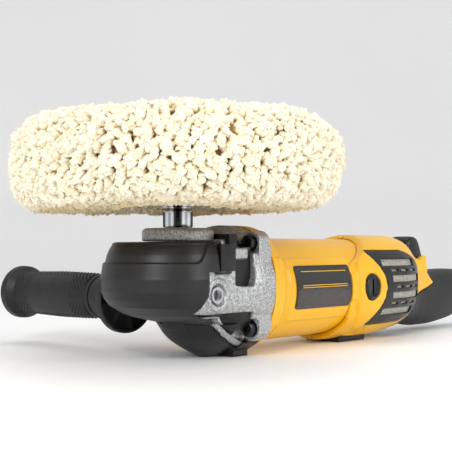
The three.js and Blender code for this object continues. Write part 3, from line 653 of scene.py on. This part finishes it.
def cone(grow):
    """The head's swell towards the flange."""
    profile = [(26, 0.1), (26, 38 + grow), (27, 40 + grow), (31, 43.5 + grow), (FLANGE_FRONT + 2, 46 + grow)]
    return turned("x", profile, (0, FLANGE_Z), 128)


def gear_case():
    """The cast head: nose, cone and flange, with pockets, screw wells and room for the gears."""
    plate = rounded(84, 73, FLANGE_Z, 9)
    case = join(
        nose_body(4.3),
        both(keel(3.8), block(-50, FLANGE_BACK, -50, 50, 0, 60)),
        spindle_seat(10.8), cone(0),
        rod("x", FLANGE_FRONT, FLANGE_BACK, (0, FLANGE_Z), FLANGE_RADIUS, 128),
        prism("x", plate, FLANGE_FRONT, FLANGE_BACK),
        rod("z", 60, BOOT_TOP + 0.4, (0, 0), 25),
        rod("y", -42.6, 0, (HANDLE_X, MOTOR_Z), 11.4), rod("y", 0, 45.5, (HANDLE_X, HANDLE_Z), 12))
    for x, y, z in SCREWS:
        join(case, rod("x", FLANGE_FRONT - 3.2, FLANGE_BACK - 2, (y, z), 9.2))
    lug = block(12, 26.4, -44.6, -38, 73.4, 80.6)
    web = prism("z", [(14, 20), (35, 24), (35, 28.5), (26, 30), (14, 30)], 81, 87)
    join(case, lug, mirrored(lug), web, mirrored(web))
    pocket = prism("y", SIDE_POCKET, -60, -33)
    upper = block(27.6, 38, -36, -18, 82.5, 93)
    well = block(35, FLANGE_FRONT, -52, -25, 77, 94)
    low_well = block(33, FLANGE_FRONT, -52, -26, 10, 29)
    skirt = block(-40, 37, -60, -31, 20, 34.6)
    for opening in (skirt, pocket, upper, well, low_well):
        cut(case, opening, mirrored(opening))
    cut(
        case,
        turned("z", [(33.5, 29), (36.2, 34), (62, 34)], (0, 0)), rod("x", 12, 34.5, (0, LAY_Z), 11.5),
        rod("z", 25.7, 36, (0, 0), 8.3),
        rod("z", 60, 75, (0, 0), 10), rod("z", 72, 90, (0, 0), 18.3), rod("x", 34, 42, (0, LAY_Z), 8.3),
        rod("x", 41, 50, (0, LAY_Z), 15.8), rod("x", 41, 50, (0, MOTOR_Z), 10),
        rod("x", 49.7, 60, (0, MOTOR_Z), 33.3),
        turned("y", [(-50, 9.4), (-42.6, 8.2), (-39.6, 7.2), (-39.5, 5.9), (-36, 5.9)], (HANDLE_X, MOTOR_Z)),
        rod("y", 37, 60, (HANDLE_X, HANDLE_Z), 5.1),
        block(-5, 13, -60, -35.6, 62.8, 94), rod("y", -40, 0, LOCK_PIN, 3))
    for x, y, z in SCREWS:
        cut(case, rod("x", x - 20, x + 20, (y, z), 4.4), rod("x", x - 20, FLANGE_FRONT + 2, (y, z), 6.3))
    place(moulded(case, 0.8), "gear_head", CAST, "housing", "cast_aluminium", "gear_case")

    # a dark lining in the openings, as painted shade where their insides are in shadow
    side = prism("y", SIDE_POCKET, -37.6, -31)
    top = both(block(27.8, 37.8, -36, -18, 82.7, 92.5), cone(-2.5))
    skirt = both(join(nose_body(5.8, -1.5), keel(4.6)), block(-22, 38, -60, -29, 22, 35.6))
    gap = cut(block(18, 26.4, -34, 34, 81.2, 91), rod("z", 70, 100, (0, 0), 25.6))
    for i, one in enumerate((side, mirrored(side), top, mirrored(top), skirt, mirrored(skirt), gap)):
        place(one, f"shadow_liner_{i + 1}", BLACK, "housing", "black_plastic")


def socket_threads():
    """The threaded hole that takes the side handle, seen bright in its recess."""
    mouth, root, crest, turns, sides = -41.4, 4.9, 4.2, 5, 64
    bush = turned("y", [(mouth, 5.8), (mouth + 4, 5.8)], (HANDLE_X, MOTOR_Z), sides)
    ridges = [(mouth + 0.4 * i, root if i % 2 else crest) for i in range(2 * turns)]
    cut(bush, turned("y", [(-45, 5.2), *ridges, (-36, 4.4)], (HANDLE_X, MOTOR_Z), sides))
    place(bush, "socket_bush", STEEL, "housing", "steel")


def front_boot():
    """The rubber cover on the nose, with a shallow panel round its upper half."""
    back = BOOT_HIGH[0]
    upright = [
        (50, 45.6, 46.1), (50.4, 46, 46.4), (59.8, 46.5, 46.7), (60.2, 46.3, 46.5), (69.6, 44.5, 45.3),
        (70, 44.5, 45.3), (76, 42.6, 44.4), (80, 40.6, 43), (82.6, 38.6, 42), (84.2, 36.2, 40.4),
        (BOOT_TOP, 33, 38)]
    levels = [
        (26.6, 12, 33, 6), (28.5, 19, 36.5, 3), *NOSE_BOTTOM, (45, 44, 45.7, -11),
        *((*level, NOSE_X) for level in upright)]
    boot = loft([section_nose(z, r, hw, back, x) for z, r, hw, x in levels])
    panel = cut(
        loft([section_nose(z, r + 3, hw + 3, back, x) for z, r, hw, x in levels]),
        loft([section_nose(z, r - 1.5, hw - 1.5, back + 5, x) for z, r, hw, x in levels[:-1]]
             + [section_nose(95, 30, 35, back + 5)]))
    both(panel, prism("y", [(-70, 70.3), (-24, 70.3), (-20.5, 72), (-11.5, 84), (-70, 84)], -60, 60))
    side = prism("y", [(-15, 64.3), (-15, 48), (-24, 33), (-24, 20), (40, 20), (40, 64.3)], 36, 60)
    cut(
        boot, panel, nose_body(4, 0.3), keel(-0.3), spindle_seat(12.2),
        rod("z", 70, 90, (0, 0), 25.3), rod("y", -60, 0, (HANDLE_X, MOTOR_Z), 11.8),
        rod("y", 0, 60, (HANDLE_X, HANDLE_Z), 12.4),
        block(-4, 60, -60, -30, 20, 100), block(12, 60, 30, 60, 20, 100), side, mirrored(side))
    place(moulded(boot, 0.65, 2), "boot", RUBBER, "housing", "rubber", "front_boot")


# the bright band on each side of the chin: its upper and lower edges, in x and z
BAND_TOP = [(0, 33), (6, 28.4), (15.3, 20.6), (24, 16.2), (34, 12.6), (43, 10.4)]
BAND_BOTTOM = [(-1, 33), (5, 26.4), (14.6, 18), (23.6, 13.4), (33, 10), (41, 8)]


def crown_bumper():
    """The rubber chin that the tool lies on, with a bright band let into each side."""
    back = low_high("crown_foot")[1][0]
    wings = both(
        rod("x", 38, back, (0, FLANGE_Z - 1.2), FLANGE_RADIUS + 3, 128), block(0, 60, -30, 30, 0.5, 14.2))
    bumper = join(
        both(keel(0), block(-50, 54, -50, 50, 0, 26)), block(38, 54, -20, 20, 0, 4), wings,
        rod("z", 22.8, 31, (0, 0), 12))
    flange = prism("x", rounded(84.6, 73.6, FLANGE_Z, 9), 30, 60)
    above = prism("y", [*BAND_TOP, (43, 40), (0, 40)], -60, -6)
    recess = cut(both(keel(-2), above), keel(2.8))
    under = prism("y", [*BAND_BOTTOM, *((x - 0.5, z - 1.3) for x, z in BAND_BOTTOM[::-1])], -60, -6)
    line = cut(both(keel(-2), under), keel(1.6))
    grooves = [cut(block(-12, 34, y, y + 1.1, 1.5, 27), keel(1.5)) for y in (8, -9.1)]
    slits = [cut(block(-2, 30, y, y + 1.3, 3, 15 - abs(y)), keel(2.4)) for y in (-6, -3, 1.7, 4.7)]
    cut(
        bumper, keel(5.5), rod("z", 24.4, 40, (0, 0), 10.6),
        rod("x", 25, 60, (0, FLANGE_Z), FLANGE_RADIUS + GAP), flange,
        recess, mirrored(recess), line, mirrored(line), *grooves, *slits)
    place(moulded(bumper, 0.65, 2), "crown_bumper", RUBBER, "housing", "rubber", "crown_foot")
    band = both(cut(keel(-0.6), keel(3.2)), prism("y", [*BAND_TOP, *BAND_BOTTOM[::-1]], -60, -6),
                block(-50, 42, -50, 0, 0, 27))
    for i, one in enumerate((band, mirrored(band))):
        place(bevelled(one, 0.3), f"chin_band_{i + 1}", CAST, "housing", "cast_aluminium")


def lock_button():
    low, high = low_high("spindle_lock_button")
    button = join(
        block(low[0], high[0], -46.2, -41.6, low[2], high[2]), rod("y", -43, high[1], LOCK_PIN, 2, 24))
    bevelled(button, 0.9, 50)
    place(button, "lock_button", BLACK, "spindle_lock", "black_plastic", "spindle_lock_button")


def flange_screws():
    seat = FLANGE_FRONT + 1.7
    for i, (_, y, z) in enumerate(SCREWS, 1):
        low, high = low_high(f"flange_screw_{i}")
        head = turned(
            "x", [(low[0], 4.6), (low[0] + 0.7, 5.6), (seat, 5.6), (seat, 4), (high[0], 4)], (y, z), 40)
        cut(head, rod("x", low[0] - 2, low[0] + 3, (y, z), 2.9, 6))
        bevelled(head, 0.25)
        place(head, f"cap_screw_{i}", DARK_STEEL, "housing", "dark_steel", f"flange_screw_{i}")


# ---------------------------------------------------------------- motor housing


def step(value, edge, width):
    """0 before an edge, 1 after it, smooth between."""
    share = np.clip((value - edge) / width + 0.5, 0, 1)
    return share * share * (3 - 2 * share)


def motor_tube():
    """The yellow tube: a flared shoulder in front, and panels that stand out by a fraction."""
    xs = np.r_[np.linspace(HOUSING_FRONT, 90, 60), np.linspace(90.6, HOUSING_BACK, 110)]
    angles = np.linspace(0, 2 * math.pi, 360, endpoint=False)
    x, angle = np.meshgrid(xs, angles, indexing="ij")
    flare = 1 - step(x, 71, 14)
    power = 2 / (2 + 0.35 * flare)
    c, s = np.cos(angle), np.sin(angle)
    y = np.sign(c) * np.abs(c) ** power
    z = np.sign(s) * np.abs(s) ** power
    width = HOUSING_RADIUS + 4.3 * flare
    height = HOUSING_RADIUS + 5 * flare
    centre = MOTOR_Z + (FLANGE_Z - MOTOR_Z) * flare
    rise = centre + z * height - MOTOR_Z
    grow = -0.7 * step(x, 80, 1.6)
    belly = step(rise, -24, 2) * (1 - step(rise, 25, 2))
    grow += 0.9 * step(x, 79, 1.6) * belly * (1 - step(x, 160, 2)) - 0.35 * (1 - belly) * step(x, 80, 1.6)
    away = np.abs(rise)
    notch = step(x, 60, 1.2) * (1 - step(x, 72, 1.2)) * step(away, 26, 1.6) * (1 - step(away, 38, 2))
    grow -= 1.5 * notch
    points = np.stack([x, y * (width + grow), centre + z * (height + grow)], -1)
    tube = loft(list(points))
    holes = [
        block(BRUSH_X - 5.3, BRUSH_X + 5.3, *flank(side, 30, 60), BRUSH_Z - 7.8, BRUSH_Z + 7.8)
        for side in (1, -1)]
    cut(tube, rod("x", 50, 206, (0, MOTOR_Z), 38, 128), rod("x", 200, 220, (0, MOTOR_Z), 8.3), *holes)
    place(tube, "motor_tube", YELLOW, "housing", "yellow_shell", "motor_housing")


def curved_plate(x0, x1, z0, z1, low, high, corner, side):
    """A plate bent over the housing's side, with rounded corners."""
    outline = [((x0 + x1) / 2 + x, z) for x, z in rounded(x1 - x0, z1 - z0, (z0 + z1) / 2, corner)]
    sheet = cut(
        rod("x", x0 - 5, x1 + 5, (0, MOTOR_Z), high, 256), rod("x", x0 - 9, x1 + 9, (0, MOTOR_Z), low, 256))
    return both(sheet, prism("y", outline, *flank(side, 20, 70)))


def labels():
    """A plain two-tone plate with two thin rules and no words."""
    for side, end in SIDES:
        low, high = low_high(f"label_{end}")
        x0, x1, z0, z1 = low[0], high[0], low[2], high[2]
        split = (z0 + z1) / 2 - 1.2
        r = HOUSING_RADIUS + 0.25
        plate = curved_plate(x0, x1, z0, z1, r, r + 0.75, 3, side)
        place(plate, f"label_plate_{end}", LABEL, "housing", "label", f"label_{end}")
        lower = curved_plate(x0 + 1.2, x1 - 1.2, z0 + 1, split, r + 0.5, r + 0.95, 2, side)
        place(lower, f"label_panel_{end}", LABEL_GREY, "housing", "label")
        for i, z in enumerate((z1 - 4.6, split + 1, split + 2.6)):
            rule = curved_plate(x0 + 7, x1 - 6, z - 0.28, z + 0.28, r + 0.5, r + 0.95, 0.2, side)
            place(rule, f"label_rule_{end}_{i + 1}", YELLOW, "housing", "yellow_shell")


# ---------------------------------------------------------------- rear body and handle

# the outline along the tool: x, half width, middle height, half height, squareness
STATIONS = np.array([
    (155, 43.4, 47.2, 44.4, 2), (190, 45.8, 46.5, 45.7, 2.05), (215, 46.4, 46.8, 45.7, 2.1),
    (245, 45, 48.2, 44.3, 2.15), (268, 38.5, 49.5, 42.5, 2.3), (284, 29, 49.3, 39, 2.5),
    (298, 21.5, 44, 36.5, 2.7), (312, 19.5, 39.3, 34.2, 2.8), (319, 19.2, 39, 34, 2.8),
    (326, 19, 34.5, 29.5, 2.8), (332, 18.8, 32.5, 27.5, 2.8), (345, 18.4, 32, 27, 2.7),
    (380, 17.8, 34, 25.5, 2.6), (405, 16.8, 36, 22.5, 2.5), (HANDLE_BACK, 12, 37, 16, 2.3)])


def rear_sections(grow, start, end, pitch=2.0):
    """Sections along the cap, neck and handle, with the stations' corners eased."""
    xs = np.linspace(start, end, max(2, int((end - start) / pitch)))
    offsets = np.linspace(-7, 7, 9)
    rows = []
    for x in xs:
        ease = 0.35 if 306 < x < 340 else min(1, (HANDLE_BACK - x) / 12 + 0.05)
        near = np.clip(x + offsets * ease, STATIONS[0, 0], HANDLE_BACK)
        values = [np.interp(near, STATIONS[:, 0], STATIONS[:, k]).mean() for k in range(1, 5)]
        rows.append(section_x(x, values[0] + grow, values[1], values[2] + grow, values[3], 120))
    return rows


def rear_body(grow, start=CAP_FRONT, end=HANDLE_BACK):
    return loft(rear_sections(grow, start, end))


def rubber_zone(g):
    """The part of the handle that rubber covers, larger by g."""
    return prism("y", [
        (231 - g, -20), (236 - g, 5 + g), (250 - g, 9 + g), (262 - g, 15 + g), (276 - g, 23 + g),
        (286 - g, 30 + g), (RUBBER_FRONT - g, 37 + g), (318 - g, 41.5 + g), (336 - 2.2 * g, 46.4),
        (324 - 1.2 * g, 60),
        (321.5 - 1.2 * g, 65), (321.5 - 1.2 * g, 120), (450, 120), (450, -20)], -60, 60)


def vent_outline(i):
    """A rounded arrow head that points to the rear, smaller by i."""
    return [
        (185.5 + 2.4 * i, 78.5 - i), (193, 71), (198 + 1.6 * i, 65), (203 + 1.1 * i, 57),
        (205 + 1.1 * i, 48), (203 + 1.1 * i, 38), (198 + 1.6 * i, 29.5), (193, 23),
        (185.5 + 2.4 * i, 15 + i), (242, 15 + i), (256, 18.5 + i), (266 - i, 24 + 0.4 * i),
        (274 - i, 31), (279 - i, 38), (279 - i, 58), (274 - i, 65),
        (266 - i, 71 - 0.4 * i), (256, 76 - i), (246, 78.5 - i)]


def window(inset, side):
    """The opening in the cap's side that holds the vent, smaller by inset."""
    return prism("y", vent_outline(inset), *flank(side, 15, 60))


def brow(side):
    """The raised yellow rim in front of the vent, round the brush cap."""
    outline = [(176, 81), (186, 81), (198, 67.5), (206, 58), (208, 48), (206, 37), (198, 27), (186, 12.5),
               (176, 12.5), (168.5, 30), (167, 48), (168.5, 66)]
    rim = cut(rear_body(1.6, 162, 220), rear_body(-3, 158, 230))
    both(rim, prism("y", outline, *flank(side, 20, 70)))
    return cut(rim, window(0, side))


def scoops(side):
    """Shallow hollows round the front edge of the cap."""
    outlines = [
        [(172, 86), (178, 80), (190, 80), (196, 84), (186, 90), (176, 92)],
        [(158, 75), (165, 74), (168, 69), (166.5, 62), (162, 59), (158, 61)],
        [(158, 36), (163, 39), (167, 35), (168, 28), (164, 23), (158, 22)],
        [(176, 5), (184, 13), (194, 13.5), (198, 10), (190, 3)]]
    return [cut(prism("y", outline, *flank(side, 20, 70)), rear_body(-1.4, 150, 230)) for outline in outlines]


def handle_shells():
    """The yellow cap and neck in two halves, with the scoops, vent windows and brush holes cut out."""
    for side, end in SIDES:
        skin = cut(rear_body(0), rubber_zone(GAP))
        cheek = prism("y", [(296, 58), (296, 64), (320, 73.7), (321.4, 64.7), (323.5, 58)], 12.2, 18)
        join(skin, rear_body(-4.3, 228, HANDLE_BACK - 6), brow(side), cheek, mirrored(cheek))
        slope = [(150, 66), (160, 66), (178, 74), (196, 84), (214, 97), (214, 120), (150, 120)]
        slant = prism("y", slope, -60, 60)
        front = prism("y", [(150, 34), (159.5, 34), (163, 20), (158, 0), (150, -5)], -60, 60)
        cut(
            skin, rod("x", 150, 216, (0, MOTOR_Z), HOUSING_RADIUS - 0.8, 128), rear_body(-3.5, 214, 284),
            rear_body(-7.3, 282, 404), slant, front, block(294, 332, -11.7, 11.7, 44, 110), window(0, side),
            rod("y", -60, 60, (BRUSH_X, BRUSH_Z), 11.3), rod("x", 395, 430, GLAND, 9.3),
            block(FOOT_LOW[0] - GAP, FOOT_HIGH[0] + GAP, -18.3, 18.3, -5, 5.9),
            block(214, 234, -5, 5, -5, 20), rod("y", 5, 40, LOCK_ON, 4.3), *scoops(side))
        both(skin, block(100, 500, *flank(side, GAP / 2, 100), -50, 150))
        moulded(skin, 0.9, 3)
        place(skin, f"rear_shell_{end}", YELLOW, "housing", "yellow_shell", f"handle_shell_{end}")


MESH_ROWS = ((68, 203, 258), (54, 215, 271), (39.5, 215, 271), (25.5, 203, 258))  # height, front and back
SLIT_ROWS = ((61.2, 214), (46.8, 220), (32.6, 214))  # height and front


def vents():
    """A black frame with four mesh strips and thin slits between them, on each side."""
    for side, end in SIDES:
        span = flank(side, 15, 60)
        frame_plate = cut(rear_body(1.3, 180, 290), rear_body(-2.4, 170, 300))
        both(frame_plate, window(GAP, side))
        rows = [block(x0, x1, *span, z - 3.1, z + 3.1) for z, x0, x1 in MESH_ROWS]
        slits = [
            block(x, x + 11, *span, z - 0.9, z + 0.9)
            for z, first in SLIT_ROWS for x in (first, first + 17, first + 34)]
        cut(frame_plate, *rows, *slits)
        moulded(frame_plate, 0.6, 2)
        place(frame_plate, f"vent_bars_{end}", BLACK, "housing", "black_plastic", f"vent_frame_{end}")
        sheet = cut(rear_body(-0.4, 200, 283), rear_body(-2.0, 170, 300))
        strips = [block(x0 + GAP, x1 - GAP, *span, z - 2.8, z + 2.8) for z, x0, x1 in MESH_ROWS]
        strips += [block(210, 268, *span, z - 0.8, z + 0.8) for z, first in SLIT_ROWS]
        for i, strip in enumerate(strips):
            part = both(copy_of(sheet), strip)
            nodes = [f"filter_mesh_{end}"] if i == 0 else []
            place(part, f"mesh_strip_{end}_{i + 1}", MESH, "housing", "filter_mesh", *nodes)
        backing = cut(rear_body(-2.2, 200, 283), rear_body(-3.0, 190, 300))
        both(backing, window(3, side))
        place(backing, f"vent_back_{end}", BLACK, "housing", "black_plastic")
        bpy.data.objects.remove(sheet)


def brush_caps():
    for side, end in SIDES:
        top, foot = 47.4 * side, 42.2 * side
        profile = [(foot, 11), (foot + 3.6 * side, 11), (top - 0.6 * side, 10.4), (top, 9.4),
                   (top, 8), (top - 1.2 * side, 7.4), (top - 1.2 * side, 0.1)]
        cap = turned("y", profile, (BRUSH_X, BRUSH_Z), 64)
        slot = sorted((top - 2.6 * side, top + side))
        cut(cap, block(BRUSH_X - 1.1, BRUSH_X + 1.1, *slot, BRUSH_Z - 7, BRUSH_Z + 7))
        bevelled(cap, 0.25)
        place(cap, f"brush_cover_{end}", BLACK, "housing", "black_plastic", f"brush_cap_{end}")


def rear_rubber():
    grip = both(rear_body(0, 225, HANDLE_BACK), rubber_zone(0))
    cut(grip, rear_body(-4, 220, HANDLE_BACK - 5.7), block(293.7, 332.3, -11.9, 11.9, 44, 110),
        rod("x", 395, 430, GLAND, 9.3))
    place(moulded(grip, 0.9, 3), "handle_rubber", GRIP, "housing", "rubber", "rear_grip")


def trigger():
    outline = [(299, 64), (298, 70), (298, 76), (298.3, 82), (299.4, 87), (302, 90.6), (306, 91.8),
               (312, 91.5), (316.5, 89.5), (321, 83), (325.5, 73), (325, 67), (321, 63.5), (318, 61), (303, 61)]
    paddle = bevelled(prism("y", outline, -11, 11), 3.2, 50)
    join(paddle, block(316, 321, -5, 5, 53, 62), rod("y", -11, 11, TRIGGER_PIVOT, 3.6))
    place(paddle, "trigger_paddle", BLACK, "trigger", "black_plastic", "trigger")


def small_rear_parts():
    """The heel pad, the speed dial, the cable gland and the lock-on button."""
    foot = block(*np.stack([FOOT_LOW, FOOT_HIGH], 1).ravel())
    place(bevelled(foot, 1.2), "heel_pad", RUBBER, "housing", "rubber", "rear_foot")
    low, high = low_high("speed_dial")
    x, z = (low[0] + high[0]) / 2, (low[2] + high[2]) / 2
    radius = (high[2] - low[2]) / 2
    count = 20
    angles = np.linspace(0, 2 * math.pi, count * 4, endpoint=False)
    waves = radius - 0.7 + 0.7 * np.sign(np.sin(angles * count))
    wheel = prism("y", np.stack([x + waves * np.cos(angles), z + waves * np.sin(angles)], 1), low[1], high[1])
    place(bevelled(wheel, 0.4), "dial_wheel", BLACK, "speed_dial", "black_plastic", "speed_dial")
    gland = turned("x", [(404.5, 9), (416, 9), (418.5, 8.6), (420, 7.2)], GLAND)
    cut(gland, rod("x", 400, 430, GLAND, 4.6))
    place(bevelled(gland, 0.4), "cable_gland", RUBBER, "housing", "rubber", "cord_gland")
    low, high = low_high("lock_on_button")
    button = turned("y", [(low[1], 3), (low[1] + 2.6, 3), (low[1] + 2.6, 4), (high[1] - 1.2, 4),
                          (high[1] - 0.4, 3.6), (high[1], 2.6)], LOCK_ON, 40)
    place(button, "lock_on_cap", BLACK, "lock_on", "black_plastic", "lock_on_button")


# ---------------------------------------------------------------- side handle


def side_handle():
    """A cupped guard with ribs inside, and a grip with raised dots and a knob at its end."""
    centre = (HANDLE_X, HANDLE_Z)
    low, high = low_high("side_handle_guard")
    y0, y1, rim = low[1], high[1], high[2] - HANDLE_Z
    cup = turned("y", [(y0, rim), (y0 + 2, rim + 0.2), (y0 + 6, rim), (y0 + 8.5, 21), (y0 + 11, 17.6),
                       (y0 + 20, 16.8), (y1, 16.6)], centre, 128)
    cut(cup, turned("y", [(y0 - 1, rim - 1.8), (y0 + 4, rim - 2.4)], centre))
    cut(cup, rod("y", y0 - 9, y1 + 9, centre, 5.3))
    join(cup, cut(rod("y", y0, y0 + 5, centre, 12.5), rod("y", y0 - 2, y0 + 9, centre, 5.3)))
    for i in range(8):
        angle = math.pi * i / 4 + 0.2
        c, s = math.cos(angle), math.sin(angle)
        rib = [(HANDLE_X + c * r - s * t, HANDLE_Z + s * r + c * t) for r, t in
               ((11, -0.9), (rim - 1.6, -0.9), (rim - 1.6, 0.9), (11, 0.9))]
        join(cup, prism("y", rib, y0 + 0.8, y0 + 5))
    place(bevelled(cup, 0.3), "handle_guard", GRIP, "housing", "rubber", "side_handle_guard")

    low, high = low_high("side_handle_grip")
    start, end, knob = low[1], high[1], 22.4
    ys = np.linspace(start, end - 6, 190)
    angles = np.linspace(0, 2 * math.pi, 200, endpoint=False)
    y, angle = np.meshgrid(ys, angles, indexing="ij")
    radius = np.interp(y, [start, 100, 130, 160, 178, 183, 190], [17, 17.6, 18, 17.4, 16.9, 22, knob])
    band = step(y, start + 6, 1.5) * (1 - step(y, start + 98, 1.5))
    quiet = step(np.abs(y - (start + 52)), 27, 1.5) + (1 - step(np.abs(np.cos(angle)), 0.5, 0.06))
    dots = np.clip(np.sin(angle * 26) * np.sin(y * 2 * math.pi / 4), 0, 1)
    groove = step(y, start + 4, 1) * (1 - step(y, start + 5.6, 1))
    radius = radius + 0.9 * dots * band * np.clip(quiet, 0, 1) - 0.7 * groove
    rows = list(axes("y", y, HANDLE_X + radius * np.cos(angle), HANDLE_Z + radius * np.sin(angle)))
    for share in (0.35, 0.65, 0.85, 0.95, 1.0):
        r = knob * math.sqrt(1 - share ** 2 * 0.96)
        x, z = HANDLE_X + r * np.cos(angles), HANDLE_Z + r * np.sin(angles)
        rows.append(axes("y", end - 6 + 6 * share, x, z))
    grip = cut(loft(rows), rod("y", start - 5, 109, centre, 5.3))
    place(grip, "handle_grip", GRIP, "housing", "rubber", "side_handle_grip")


# ---------------------------------------------------------------- nodes that stay as they are


def finish_frame_nodes():
    """The CAD's own internal pieces keep their shape and get a finish."""
    finishes = {
        "steel": STEEL, "copper": COPPER, "lamination": LAMINATION, "carbon": CARBON,
        "cast_aluminium": CAST, "black_plastic": BLACK, "rubber": RUBBER, "wool": WOOL,
        "yellow_shell": YELLOW, "chrome": CHROME, "dark_steel": DARK_STEEL,
        "filter_mesh": MESH, "label": LABEL}
    slots = {part["node"]: part["material_slot"] for part in frame["record"]["subparts"]}
    for name, node in frame["nodes"].items():
        for slot in node.material_slots:
            slot.material = finishes[slots[name]]


# ---------------------------------------------------------------- studio


CAMERA = np.array([-0.457, -0.466, 0.0815])  # metres from the spindle's axis on the floor
LOOK = (0.7373, 0.6756)  # level, towards the rear and the far side
LENS = 71.7
SHIFT = 0.0465
LIGHTS = (  # name, place, target, size and watts
    ("key", (-1.15, -0.55, 0.75), (0.05, 0, 0.06), 0.45, 9),
    ("fill", (0.35, -1.3, 0.55), (0.12, 0, 0.05), 0.45, 6),
    ("top", (0.1, 0.2, 1.7), (0.1, 0, 0.0), 1.0, 5))


def studio():
    """A white bowl for a floor, soft lights all round and the camera."""
    bowl = [(0, 0.01), (0, 2200), (40, 2500), (200, 2800), (500, 2950), (1300, 3000)]
    sides = 96
    angles = np.linspace(0, 2 * math.pi, sides, endpoint=False)
    points = np.concatenate([axes("z", z, r * np.cos(angles), r * np.sin(angles)) for z, r in bowl])
    faces = [
        [s + i, s + (i + 1) % sides, s + sides + (i + 1) % sides, s + sides + i]
        for s in range(0, (len(bowl) - 1) * sides, sides) for i in range(sides)]
    floor = raw(points, faces)
    floor.name = "studio_floor"
    floor.location.z = -0.0002
    floor.data.shade_smooth()
    paint = Paint("studio_floor", 0.9)
    shaded(paint, 900, srgb(250, 250, 250), srgb(254, 254, 254))
    floor.data.materials.append(paint.material)

    world = bpy.data.worlds.new("studio")
    world.use_nodes = True
    world.node_tree.nodes["Background"].inputs["Color"].default_value = (1, 1, 1, 1)
    world.node_tree.nodes["Background"].inputs["Strength"].default_value = 0.66
    bpy.context.scene.world = world

    for name, spot, target, size, power in LIGHTS:
        light = bpy.data.lights.new(name, "AREA")
        light.shape = "SQUARE"
        light.size = size
        light.energy = power
        made = bpy.data.objects.new(name, light)
        bpy.context.scene.collection.objects.link(made)
        made.location = spot
        toward = np.array(target) - np.array(spot)
        made.rotation_euler = Vector(toward).to_track_quat("-Z", "Y").to_euler()
    bpy.context.scene.view_settings.view_transform = "Standard"

    camera = bpy.data.objects.new("camera", bpy.data.cameras.new("camera"))
    bpy.context.scene.collection.objects.link(camera)
    camera.data.sensor_width = 36
    camera.data.lens = LENS
    camera.data.shift_y = SHIFT
    camera.data.clip_start = 0.02
    camera.location = ORIGIN + CAMERA
    camera.rotation_euler = (math.pi / 2, 0, math.atan2(-LOOK[0], LOOK[1]))
    bpy.context.scene.camera = camera


studio()
finish_frame_nodes()
wool_fleece()
pad_adapter()
retainer_ring()
gear_case()
socket_threads()
front_boot()
crown_bumper()
lock_button()
flange_screws()
motor_tube()
labels()
handle_shells()
vents()
brush_caps()
rear_rubber()
trigger()
small_rear_parts()
side_handle()
